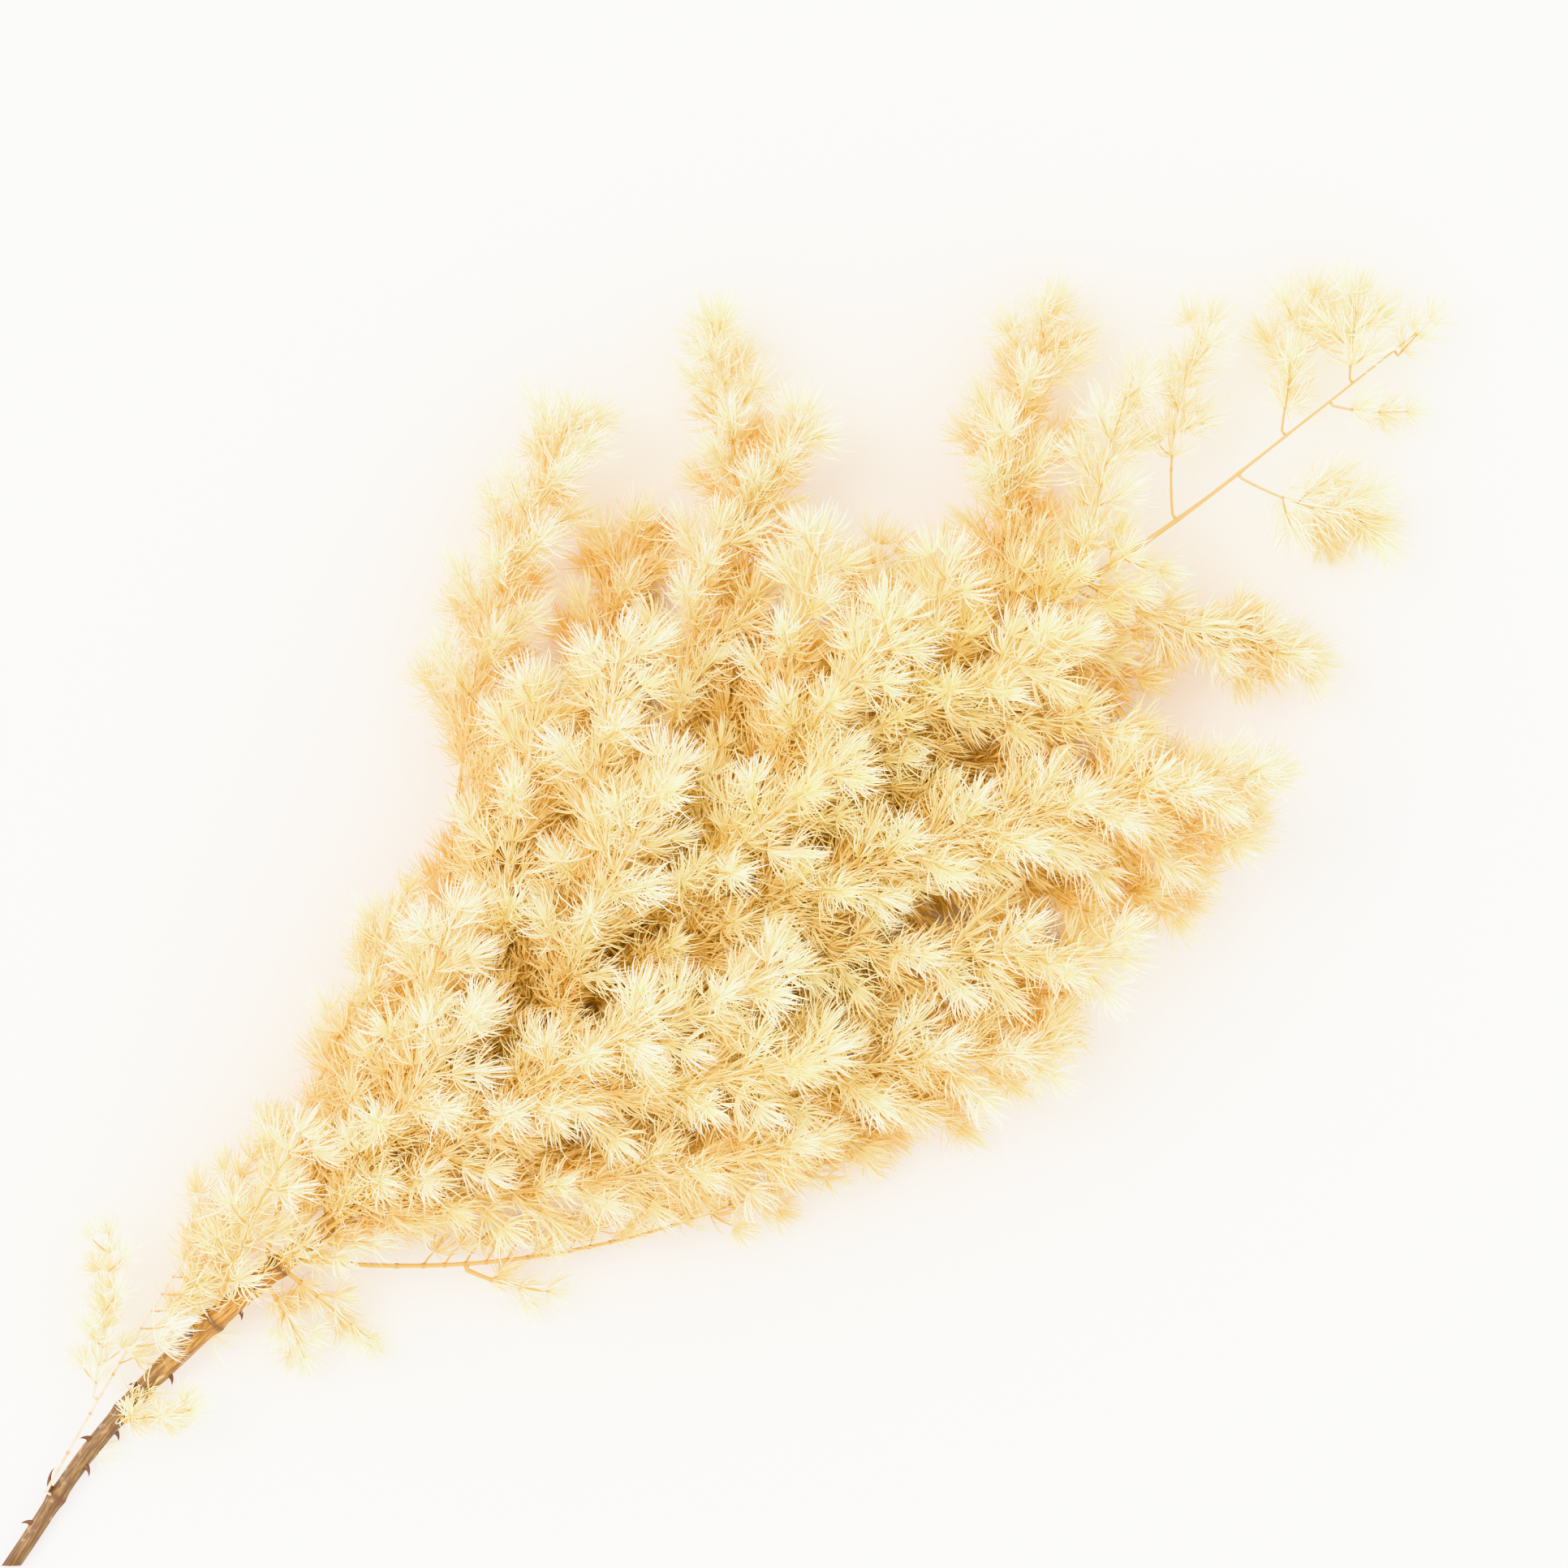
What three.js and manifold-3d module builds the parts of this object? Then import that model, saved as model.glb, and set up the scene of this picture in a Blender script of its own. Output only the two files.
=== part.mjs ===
// A dried and bleached branch of asparagus fern, cut and laid down on a surface.
// One woody cane carries leafy sprays. Each spray is a twig with side twigs and tufts of needles.
// Millimetres, +Z up. Plan positions are measured from the cut end, with +X towards the growing tip
// and +Y to the left of it; the whole is then moved so that its middle lies over the origin.
import * as THREE from "three";
import { mergeVertices } from "three/addons/utils/BufferGeometryUtils.js";
import Module from "manifold-3d";

const wasm = await Module();
wasm.setup();

// The cane, as points down its middle: [x, y, z, radius]
const CANE = [
  [0, 0, 4.1, 4.1],
  [48, 12, 7, 4.1],
  [98, 17, 13, 4.2],
  [160, 16, 24, 3.9],
  [235, 14, 35, 3.2],
  [330, 18, 44, 2.6],
  [430, 22, 48, 2.1],
  [520, 9, 46, 1.8],
  [581, 1, 39, 1.5],
  [640, -3, 29, 1.2],
  [690, -6, 21, 1],
];
const CANE_SIDES = 8;
const CANE_STEP = 24;
const CUT_SLANT = 35;
const CUT_PLACE = 2.5;
const KNOTS = [27, 68, 116, 148, 186];
const KNOT_SWELL = 1.18;
const KNOT_HALF_LENGTH = 4;

// Thorns on the lower cane: [distance from the cut end, degrees round the cane from its left side]
const THORNS = [
  [14, 20],
  [43, 150],
  [52, 25],
  [60, 200],
  [79, 40],
  [90, 170],
  [107, 60],
  [126, 190],
  [138, 100],
];
const THORN_LENGTH = 7;
const THORN_RADIUS = 1.3;
const THORN_LEAN = 112;

// Twigs, tufts and needles
const TWIG_ROOT_RADIUS = 1.25;
const TWIG_TIP_RADIUS = 0.85;
const TWIG_SIDES = 3;
const BARE_STEP = 24;
const TUFT_SPACING = 16;
const TUFT_TWIST = 60;
const BAND = 1;
const NEEDLE_LENGTH = 13;
const NEEDLE_RADIUS = 0.5;
const SIDE_TWIG_RADIUS = 0.6;
const SIDE_TWIG_LEAN = 52;
const SIDE_TUFT = 5;
const SIDE_TWIGS_IN_TEN = 7;
const SPLAYED_LEAN = [58, 74];
const FORWARD_LEAN = [36, 50];
const GOLDEN_ANGLE = 137.5;
const CLEARANCE = 0.35;
const OWN_CLEARANCE = 0.4;
const SEED = 7;

// The sprays. Each row holds its name, its parent, how far along the parent it leaves, where its twig
// ends, how far the twig bows to the left of its way and upwards, how long its side twigs get, and
// how long it stays bare.
const SPRAYS = [
  ["left_spray_01", "cane", 27, [178, 60, 34], -6, 4, 12, 58],
  ["left_spray_02", "left_spray_01", 38, [106, 60, 36], -6, 6, 9, 8],
  ["left_spray_03", "cane", 98, [139, 50, 22], 5, 0, 12, 8],
  ["left_spray_04", "cane", 122, [182, 56, 60], 6, 8, 16, 12],
  ["left_spray_05", "cane", 148, [286, 100, 40], 14, 6, 8, 60],
  ["left_spray_06", "cane", 158, [228, 70, 16], 6, -4, 18, 14],
  ["left_spray_07", "cane", 178, [262, 84, 54], 6, 6, 18, 14],
  ["left_spray_08", "cane", 200, [284, 72, 86], 4, 14, 18, 14],
  ["left_spray_09", "cane", 216, [316, 92, 16], 8, -8, 20, 14],
  ["left_spray_10", "cane", 236, [437, 179, 34], 28, 0, 20, 16],
  ["left_spray_11", "cane", 253, [350, 108, 74], 6, 12, 20, 16],
  ["left_spray_12", "cane", 272, [432, 138, 16], 8, -8, 20, 16],
  ["left_spray_13", "cane", 300, [396, 104, 88], 6, 14, 20, 14],
  ["left_spray_14", "cane", 333, [450, 112, 50], 6, 0, 20, 14],
  ["left_spray_15", "cane", 372, [500, 166, 26], -17, -4, 20, 14],
  ["left_spray_16", "left_spray_15", 116, [500, 122, 40], 0, 6, 12, 6],
  ["left_spray_17", "cane", 400, [476, 84, 76], 5, 12, 18, 12],
  ["left_spray_18", "cane", 437, [496, 74, 30], 4, -4, 16, 12],
  ["left_spray_19", "cane", 468, [506, 46, 74], 3, 10, 14, 10],
  ["left_spray_20", "cane", 510, [597, 91, 24], 13, -4, 18, 14],
  ["left_spray_21", "left_spray_20", 44, [552, 72, 50], 0, 6, 12, 6],
  ["left_spray_22", "cane", 543, [594, 46, 56], 4, 8, 14, 10],
  ["left_spray_23", "cane", 584, [637, 48, 26], 12, 0, 10, 22],
  ["left_spray_24", "cane", 636, [668, 27, 16], 4, 0, 8, 10],
  ["left_spray_25", "cane", 668, [685, 18, 26], 2, 4, 8, 5],
  ["right_spray_01", "cane", 66, [88, 2, 28], -2, 8, 6, 4],
  ["right_spray_02", "cane", 140, [129, -16, 14], 3, 0, 8, 5],
  ["right_spray_03", "cane", 149, [152, -27, 10], 0, -3, 9, 6],
  ["right_spray_04", "cane", 157, [338, -94, 16], -36, -8, 14, 44],
  ["right_spray_05", "right_spray_04", 60, [216, -66, 12], -4, 0, 9, 10],
  ["right_spray_06", "cane", 190, [326, -82, 50], -8, 6, 20, 16],
  ["right_spray_07", "cane", 216, [378, -110, 18], -8, -8, 20, 16],
  ["right_spray_08", "cane", 240, [350, -60, 84], -6, 16, 20, 14],
  ["right_spray_09", "cane", 260, [414, -114, 46], -8, 2, 22, 16],
  ["right_spray_10", "cane", 172, [360, -26, 90], 8, 26, 18, 80],
  ["right_spray_11", "cane", 302, [430, -102, 16], -4, -8, 20, 16],
  ["right_spray_12", "cane", 337, [455, -106, 60], -5, 6, 20, 16],
  ["right_spray_13", "cane", 308, [538, -90, 72], 26, 26, 20, 70],
  ["right_spray_14", "cane", 380, [492, -99, 26], -3, -6, 20, 14],
  ["right_spray_15", "cane", 404, [514, -90, 50], -5, 8, 18, 14],
  ["right_spray_16", "cane", 436, [520, -74, 20], -6, -6, 18, 14],
  ["right_spray_17", "cane", 467, [530, -56, 62], -4, 10, 16, 12],
  ["right_spray_18", "cane", 494, [530, -34, 26], -4, -4, 14, 10],
  ["right_spray_19", "cane", 544, [580, -70, 22], -10, 0, 14, 24],
  ["right_spray_20", "right_spray_19", 38, [583, -34, 24], 2, 4, 10, 6],
  ["right_spray_21", "cane", 613, [635, -52, 16], -6, 0, 14, 18],
  ["right_spray_22", "cane", 657, [669, -26, 14], -3, 0, 6, 8],
  ["top_spray_1", "cane", 180, [262, 40, 88], 4, 20, 18, 14],
  ["top_spray_2", "cane", 227, [312, -6, 96], -3, 22, 18, 14],
  ["top_spray_3", "cane", 280, [366, 56, 98], 5, 20, 18, 14],
  ["top_spray_4", "cane", 330, [424, 20, 96], 3, 20, 18, 14],
  ["top_spray_5", "cane", 388, [478, 42, 92], 5, 20, 18, 14],
  ["top_spray_6", "cane", 442, [528, -8, 84], -3, 16, 18, 14],
  ["under_spray_1", "cane", 206, [296, 36, 12], 5, -12, 16, 20],
  ["under_spray_2", "cane", 250, [345, -24, 12], -5, -12, 16, 20],
  ["under_spray_3", "cane", 314, [418, 58, 12], 5, -12, 16, 20],
  ["under_spray_4", "cane", 366, [464, -26, 12], -5, -12, 16, 20],
  ["under_spray_5", "cane", 446, [535, 16, 12], 4, -12, 16, 20],
  ["end_spray", "cane", 688, [705, -13, 19], -1, 0, 0, 4],
];

const CANE_LOOK = { color: 0xa8713a, roughness: 0.7, metalness: 0 };
const SPRAY_LOOK = { color: 0xf2e3bd, roughness: 0.8, metalness: 0 };

const { clamp, degToRad, lerp, mapLinear } = THREE.MathUtils;
const GENERATOR_STEP = 0x6d2b79f5;
const UP = new THREE.Vector3(0, 0, 1);
const ALONG_Y = new THREE.Vector3(0, 1, 0);

// A small seeded generator, so that every build gives the same branch.
function seededDraws(seed) {
  let state = seed;
  return () => {
    state = (state + GENERATOR_STEP) | 0;
    let mixed = Math.imul(state ^ (state >>> 15), 1 | state);
    mixed = (mixed + Math.imul(mixed ^ (mixed >>> 7), 61 | mixed)) ^ mixed;
    return ((mixed ^ (mixed >>> 14)) >>> 0) / 4294967296;
  };
}
const draw = seededDraws(SEED);
const between = (low, high) => lerp(low, high, draw());

// The level direction to the left of a way, turned by some degrees about the way.
function sideways(way, degrees) {
  const left = new THREE.Vector3().crossVectors(UP, way);
  if (left.lengthSq() < 1e-6) left.set(1, 0, 0);
  return left.normalize().applyAxisAngle(way, degToRad(degrees));
}

// The direction that leans away from a way by some degrees, towards an outward direction.
function leaning(way, outward, degrees) {
  const direction = way.clone().multiplyScalar(Math.cos(degToRad(degrees)));
  return direction.addScaledVector(outward, Math.sin(degToRad(degrees)));
}

// The part of a vector that is square to a way, as a unit vector.
const squareTo = (way, vector) => vector.addScaledVector(way, -vector.dot(way)).normalize();

// The shortest distance between the rods a-b and c-d.
function rodDistance(a, b, c, d) {
  const u = b.clone().sub(a);
  const v = d.clone().sub(c);
  const w = a.clone().sub(c);
  const [uu, uv, vv, uw, vw] = [u.dot(u), u.dot(v), v.dot(v), u.dot(w), v.dot(w)];
  const spread = uu * vv - uv * uv;
  let s = spread > 1e-9 ? clamp((uv * vw - vv * uw) / spread, 0, 1) : 0;
  const t = clamp((uv * s + vw) / vv, 0, 1);
  s = clamp((uv * t - uw) / uu, 0, 1);
  return w.addScaledVector(u, s).addScaledVector(v, -t).length();
}

// Every twig, thorn and needle placed so far, as straight rods.
const rods = [];
function addRod(from, to, radius, node) {
  const middle = from.clone().lerp(to, 0.5);
  rods.push({ from, to, radius, node, middle, half: from.distanceTo(to) / 2 });
}

// True where a new rod keeps clear of every rod placed before it. Rods of its own node that its root
// touches count only beyond that root.
const ROOT_SHARE = 0.22;
const ROOT_REACH = 1.6;
function isClear(from, to, radius, node) {
  const outer = from.clone().lerp(to, ROOT_SHARE);
  const middle = from.clone().lerp(to, 0.5);
  const half = from.distanceTo(to) / 2;
  return rods.every((rod) => {
    const own = rod.node === node;
    const room = radius + rod.radius + (own ? OWN_CLEARANCE : CLEARANCE);
    if (rod.middle.distanceTo(middle) > half + rod.half + room) return true;
    const atRoot = own && rodDistance(from, outer, rod.from, rod.to) < rod.radius + ROOT_REACH;
    return rodDistance(atRoot ? outer : from, to, rod.from, rod.to) > room;
  });
}

// The skin of a twig and of all that grows on it: rings of points joined by faces that point outwards.
class Skin {
  points = [];
  faces = [];

  add(point) {
    return this.points.push(point) - 1;
  }

  // A ring of points round a way, counted to the left of it, from a first outward direction.
  ring(centre, way, first, radius, sides) {
    return Array.from({ length: sides }, (_, i) => {
      const outward = first.clone().applyAxisAngle(way, (2 * Math.PI * i) / sides);
      return this.add(centre.clone().addScaledVector(outward, radius));
    });
  }

  face(a, b, c) {
    return this.faces.push([a, b, c]) - 1;
  }

  // Joins two rings, and gives back the splayed face and the forward face of each side.
  join(back, front) {
    return back.flatMap((corner, i) => {
      const next = (i + 1) % back.length;
      const splayed = this.face(corner, back[next], front[i]);
      const forward = this.face(back[next], front[next], front[i]);
      return [splayed, forward];
    });
  }

  // Covers a ring with a fan of faces: its back at a root, its front at an end.
  cover(ring, isFront) {
    for (let i = 1; i < ring.length - 1; i++) {
      const [near, far] = isFront ? [i, i + 1] : [i + 1, i];
      this.face(ring[0], ring[near], ring[far]);
    }
  }

  // Replaces a face by six that join its corners to a new ring of three.
  open(face, ring) {
    const corners = this.faces[face];
    const [first, ...others] = corners.flatMap((corner, i) => {
      const next = (i + 1) % corners.length;
      return [
        [corner, corners[next], ring[i]],
        [corners[next], ring[next], ring[i]],
      ];
    });
    this.faces[face] = first;
    this.faces.push(...others);
  }

  // Joins a ring to one point.
  closeTip(ring, tip) {
    const apex = this.add(tip);
    ring.forEach((corner, i) => this.face(corner, ring[(i + 1) % ring.length], apex));
  }

  middleOf(face) {
    const sum = new THREE.Vector3();
    for (const corner of this.faces[face]) sum.add(this.points[corner]);
    return sum.divideScalar(3);
  }

  // Pulls a face out to a point, as a three-sided needle.
  raise(face, tip) {
    const [a, b, c] = this.faces[face];
    const apex = this.add(tip);
    this.faces[face] = [a, b, apex];
    this.face(b, c, apex);
    this.face(c, a, apex);
  }

  solid() {
    const vertProperties = new Float32Array(this.points.flatMap((point) => point.toArray()));
    const triVerts = new Uint32Array(this.faces.flat());
    return new wasm.Manifold(new wasm.Mesh({ numProp: 3, vertProperties, triVerts }));
  }
}

function solidOf(geometry) {
  const bare = geometry.deleteAttribute("normal").deleteAttribute("uv");
  const merged = mergeVertices(bare, 1e-4);
  const vertProperties = merged.attributes.position.array;
  const triVerts = new Uint32Array(merged.index.array);
  return new wasm.Manifold(new wasm.Mesh({ numProp: 3, vertProperties, triVerts }));
}

function geometryOf(solid) {
  const mesh = solid.getMesh();
  const geometry = new THREE.BufferGeometry();
  const positions = new THREE.BufferAttribute(new Float32Array(mesh.vertProperties), 3);
  geometry.setAttribute("position", positions);
  geometry.setIndex(new THREE.BufferAttribute(new Uint32Array(mesh.triVerts), 1));
  geometry.computeVertexNormals();
  return geometry;
}

function evenly(from, to, step) {
  const steps = Math.max(1, Math.round((to - from) / step));
  return Array.from({ length: steps + 1 }, (_, i) => lerp(from, to, i / steps));
}

// A pointed three-sided thorn from one place to another.
function thornSolid([from, to]) {
  const length = from.distanceTo(to);
  const geometry = new THREE.ConeGeometry(THORN_RADIUS, length, 3);
  geometry.translate(0, length / 2, 0);
  const way = to.clone().sub(from).normalize();
  geometry.applyQuaternion(new THREE.Quaternion().setFromUnitVectors(ALONG_Y, way));
  geometry.translate(from.x, from.y, from.z);
  return solidOf(geometry);
}

// The cane and the twigs
const canePath = new THREE.CatmullRomCurve3(CANE.map(([x, y, z]) => new THREE.Vector3(x, y, z)));

function caneRadius(at) {
  const { x } = canePath.getPointAt(clamp(at / canePath.getLength(), 0, 1));
  const next = clamp(CANE.findIndex((row) => row[0] >= x), 1, CANE.length - 1);
  const radius = mapLinear(x, CANE[next - 1][0], CANE[next][0], CANE[next - 1][3], CANE[next][3]);
  const fromKnot = Math.min(...KNOTS.map((knot) => Math.abs(knot - at)));
  return radius * mapLinear(Math.min(fromKnot, KNOT_HALF_LENGTH), 0, KNOT_HALF_LENGTH, KNOT_SWELL, 1);
}

function twig(path, radiusAt) {
  const length = path.getLength();
  const share = (at) => clamp(at / length, 0, 1);
  return {
    length,
    radiusAt,
    pointAt: (at) => path.getPointAt(share(at)),
    wayAt: (at) => path.getTangentAt(share(at)),
  };
}

// A spray's twig starts a hair clear of its parent's surface, on the side that it grows towards.
function sprayTwig(parent, at, tip, bow, arch) {
  const middle = parent.pointAt(at);
  const parentWay = parent.wayAt(at);
  const end = new THREE.Vector3(...tip);
  const chord = end.clone().sub(middle);
  const bend = middle.clone().addScaledVector(chord, 0.5).addScaledVector(sideways(chord, 0), bow);
  bend.z += arch;
  const way = bend.clone().sub(middle).normalize();
  const outward = squareTo(parentWay, way.clone());
  const seat = parent.radiusAt(at) + CLEARANCE + TWIG_ROOT_RADIUS * Math.abs(way.dot(parentWay));
  const start = middle.addScaledVector(outward, seat);
  const path = new THREE.QuadraticBezierCurve3(start, bend, end);
  const length = path.getLength();
  return twig(path, (place) => lerp(TWIG_ROOT_RADIUS, TWIG_TIP_RADIUS, place / length));
}

const cane = twig(canePath, caneRadius);
const twigs = new Map([["cane", cane]]);
for (const [name, parent, at, tip, bow, arch] of SPRAYS) {
  twigs.set(name, sprayTwig(twigs.get(parent), at, tip, bow, arch));
}
// A thorn's root is sunk halfway into the cane.
const thorns = THORNS.map(([at, turn]) => {
  const outward = sideways(cane.wayAt(at), turn);
  const root = cane.pointAt(at).addScaledVector(outward, caneRadius(at) / 2);
  return [root, root.clone().addScaledVector(leaning(cane.wayAt(at), outward, THORN_LEAN), THORN_LENGTH)];
});
for (const [from, to] of thorns) addRod(from, to, THORN_RADIUS, "cane");

// Each twig ends in one needle straight on.
function endNeedle({ length, pointAt, wayAt }) {
  return pointAt(length).addScaledVector(wayAt(length), NEEDLE_LENGTH);
}
const ROD_STEP = 10;
for (const [name, { length, pointAt, wayAt, radiusAt }] of twigs) {
  const places = evenly(0, length, ROD_STEP);
  places.slice(1).forEach((to, i) => {
    addRod(pointAt(places[i]), pointAt(to), radiusAt(places[i]), name);
  });
  if (name !== "cane") {
    addRod(pointAt(length), endNeedle({ length, pointAt, wayAt }), NEEDLE_RADIUS, name);
  }
}

// Places a rod that leaves a face near the wished direction and keeps clear, or gives back null.
const TRIES = 9;
const TRY_SWING = 9;
const MOST_LIFT = 5;
function placeRod({ root, way, outward, lean, length, radius, node }) {
  for (let i = 0; i < TRIES; i++) {
    const swing = Math.ceil(i / 2) * (i % 2 ? TRY_SWING : -TRY_SWING);
    const turned = outward.clone().applyAxisAngle(way, degToRad(swing));
    const tip = root.clone().addScaledVector(leaning(way, turned, lean + (i % 3) * 4), length);
    const lift = Math.max(0, -tip.z);
    tip.z += lift;
    if (lift < MOST_LIFT && isClear(root, tip, radius, node)) {
      addRod(root, tip, radius, node);
      return tip;
    }
  }
  return null;
}

function growNeedle(skin, face, centre, way, lean, node) {
  const root = skin.middleOf(face);
  const outward = squareTo(way, root.clone().sub(centre));
  const length = NEEDLE_LENGTH * between(0.88, 1.1);
  const tip = placeRod({ root, way, outward, lean, length, radius: NEEDLE_RADIUS, node });
  if (tip) skin.raise(face, tip);
}

// The faces of a band come in pairs, of a splayed needle and a forward one. A face that already
// carries a side twig is null.
function growTuft(skin, faces, centre, way, node) {
  faces.forEach((face, i) => {
    const lean = between(...(i % 2 ? FORWARD_LEAN : SPLAYED_LEAN));
    if (face !== null) growNeedle(skin, face, centre, way, lean, node);
  });
}

// A side twig raised from a face: it ends in a tuft and one needle straight on. Gives back false where
// there is no room for it.
const LEAST_BAND_HEIGHT = 1.5;
function growSideTwig(skin, face, centre, way, length, node) {
  const root = skin.middleOf(face);
  const outward = squareTo(way, root.clone().sub(centre));
  const reach = length + NEEDLE_LENGTH;
  const radius = SIDE_TWIG_RADIUS;
  const tip = placeRod({ root, way, outward, lean: SIDE_TWIG_LEAN, length: reach, radius, node });
  if (!tip) return false;
  const sideWay = tip.clone().sub(root).normalize();
  const bandCentre = root.clone().addScaledVector(sideWay, length);
  if (bandCentre.z < LEAST_BAND_HEIGHT) {
    rods.pop();
    return false;
  }
  const first = squareTo(sideWay, skin.points[skin.faces[face][0]].clone().sub(root));
  const back = skin.ring(bandCentre, sideWay, first, radius, TWIG_SIDES);
  const frontCentre = bandCentre.clone().addScaledVector(sideWay, BAND);
  const front = skin.ring(frontCentre, sideWay, first, radius, TWIG_SIDES);
  skin.open(face, back);
  const band = skin.join(back, front);
  skin.closeTip(front, tip);
  growTuft(skin, band.slice(0, SIDE_TUFT), bandCentre, sideWay, node);
  return true;
}

// How long a side twig is, as a share of the spray's reach: short at both ends of the leafy stretch.
const fullness = (share) => 0.4 + 0.6 * Math.sin(Math.PI * Math.pow(share, 0.75));

function spraySolid(name, index, reach, bare) {
  const { length, pointAt, wayAt, radiusAt } = twigs.get(name);
  const skin = new Skin();
  const ringAt = (at, turn) => {
    const way = wayAt(at);
    return skin.ring(pointAt(at), way, sideways(way, turn), radiusAt(at), TWIG_SIDES);
  };
  const firstTurn = GOLDEN_ANGLE * index;
  let back = ringAt(0, firstTurn);
  skin.cover(back, false);
  for (const at of evenly(0, bare, BARE_STEP).slice(1, -1)) {
    const front = ringAt(at, firstTurn);
    skin.join(back, front);
    back = front;
  }
  const tufts = evenly(bare, length - BAND, TUFT_SPACING);
  tufts.forEach((at, i) => {
    const turn = firstTurn + i * TUFT_TWIST;
    const start = ringAt(at, turn);
    const end = ringAt(at + BAND, turn);
    skin.join(back, start);
    const faces = skin.join(start, end);
    back = end;
    const hasSideTwig = (index + i * SIDE_TWIGS_IN_TEN) % 10 < SIDE_TWIGS_IN_TEN;
    if (reach > 0 && i < tufts.length - 1 && hasSideTwig) {
      const chosen = (2 * index + 1) % faces.length;
      const sideLength = reach * fullness(i / tufts.length);
      const grown = growSideTwig(skin, faces[chosen], pointAt(at), wayAt(at), sideLength, name);
      if (grown) faces[chosen] = null;
    }
    growTuft(skin, faces, pointAt(at), wayAt(at), name);
  });
  skin.closeTip(back, endNeedle(twigs.get(name)));
  return skin.solid();
}

// The stump that the slanting cut takes off the cane's end.
function stump() {
  const size = 4 * CANE[0][3];
  const geometry = new THREE.BoxGeometry(size, size, size);
  geometry.translate(-size / 2, 0, 0);
  geometry.rotateZ(Math.atan2(cane.wayAt(0).y, cane.wayAt(0).x) + degToRad(CUT_SLANT));
  const place = cane.pointAt(CUT_PLACE);
  geometry.translate(place.x, place.y, place.z);
  return solidOf(geometry);
}

function caneSolid() {
  const plain = evenly(0, cane.length, CANE_STEP);
  const free = plain.filter((at) => KNOTS.every((knot) => Math.abs(knot - at) > 2 * KNOT_HALF_LENGTH));
  const knots = KNOTS.flatMap((at) => [at - KNOT_HALF_LENGTH, at, at + KNOT_HALF_LENGTH]);
  const skin = new Skin();
  const rings = [...free, ...knots].sort((a, b) => a - b).map((at) => {
    const way = cane.wayAt(at);
    return skin.ring(cane.pointAt(at), way, sideways(way, 0), caneRadius(at), CANE_SIDES);
  });
  rings.slice(1).forEach((ring, i) => skin.join(rings[i], ring));
  skin.cover(rings[0], false);
  skin.cover(rings.at(-1), true);
  const whole = thorns.reduce((solid, thorn) => solid.add(thornSolid(thorn)), skin.solid());
  return whole.subtract(stump());
}

const fern = new THREE.Group();
function addMesh(name, solid, look) {
  const mesh = new THREE.Mesh(geometryOf(solid), new THREE.MeshStandardMaterial(look));
  mesh.name = name;
  fern.add(mesh);
}
addMesh("cane", caneSolid(), CANE_LOOK);
SPRAYS.forEach(([name, , , , , , reach, bare], index) => {
  addMesh(name, spraySolid(name, index, reach, bare), SPRAY_LOOK);
});

// The middle of the whole goes over the origin.
const bounds = new THREE.Box3().setFromObject(fern);
const middle = bounds.getCenter(new THREE.Vector3());
fern.position.set(-middle.x, -middle.y, -bounds.min.z);

export default fern;
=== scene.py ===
"""Dresses the solids of a dried and bleached asparagus fern branch, which lies on its stage.

The cane gets its bark, knots, thorns and slanting cut. Each spray gets its twig, side twigs and
tufts of curved needles, along nearly the same lines as its solid. Lengths in the tables are
millimetres, measured in plan from the cut end of the cane, with X towards the growing tip.
"""

from functools import partial
from math import atan2, cos, radians, sin

import bpy
import numpy as np
from bpy.props import FloatProperty, FloatVectorProperty, IntProperty, PointerProperty
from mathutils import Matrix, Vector


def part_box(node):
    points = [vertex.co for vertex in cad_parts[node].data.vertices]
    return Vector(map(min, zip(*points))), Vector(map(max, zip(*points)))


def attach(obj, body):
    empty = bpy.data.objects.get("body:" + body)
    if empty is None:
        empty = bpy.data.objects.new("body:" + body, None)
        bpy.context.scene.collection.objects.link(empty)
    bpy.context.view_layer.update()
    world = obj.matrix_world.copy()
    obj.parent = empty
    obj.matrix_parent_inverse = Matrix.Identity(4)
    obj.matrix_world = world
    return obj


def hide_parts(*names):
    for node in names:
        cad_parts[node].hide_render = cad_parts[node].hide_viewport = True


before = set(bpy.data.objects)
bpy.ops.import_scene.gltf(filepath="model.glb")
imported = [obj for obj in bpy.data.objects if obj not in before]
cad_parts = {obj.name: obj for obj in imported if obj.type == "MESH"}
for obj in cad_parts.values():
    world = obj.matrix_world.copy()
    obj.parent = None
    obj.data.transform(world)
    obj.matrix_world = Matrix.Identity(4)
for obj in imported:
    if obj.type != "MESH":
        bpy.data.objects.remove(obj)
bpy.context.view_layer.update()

bl_info = {
    "name": "Dried asparagus fern",
    "version": (1, 0, 0),
    "blender": (4, 5, 0),
    "location": "3D View > Sidebar > Fern",
    "description": "Makes the cane, twigs and needles of a dried asparagus fern, and its stage",
    "category": "Object",
}

# The cane, as points down its middle: (x, y, z, radius)
CANE = (
    (0, 0, 4.1, 4.1),
    (48, 12, 7, 4.1),
    (98, 17, 13, 4.2),
    (160, 16, 24, 3.9),
    (235, 14, 35, 3.2),
    (330, 18, 44, 2.6),
    (430, 22, 48, 2.1),
    (520, 9, 46, 1.8),
    (581, 1, 39, 1.5),
    (640, -3, 29, 1.2),
    (690, -6, 21, 1),
)

# The cane is thinner towards both ends than its solid: (distances), (shares of the solid's radius)
CANE_SHARE = ((0, 60, 100, 500, 590, 640, 690), (0.74, 0.8, 1, 1, 0.5, 0.38, 0.34))

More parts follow.
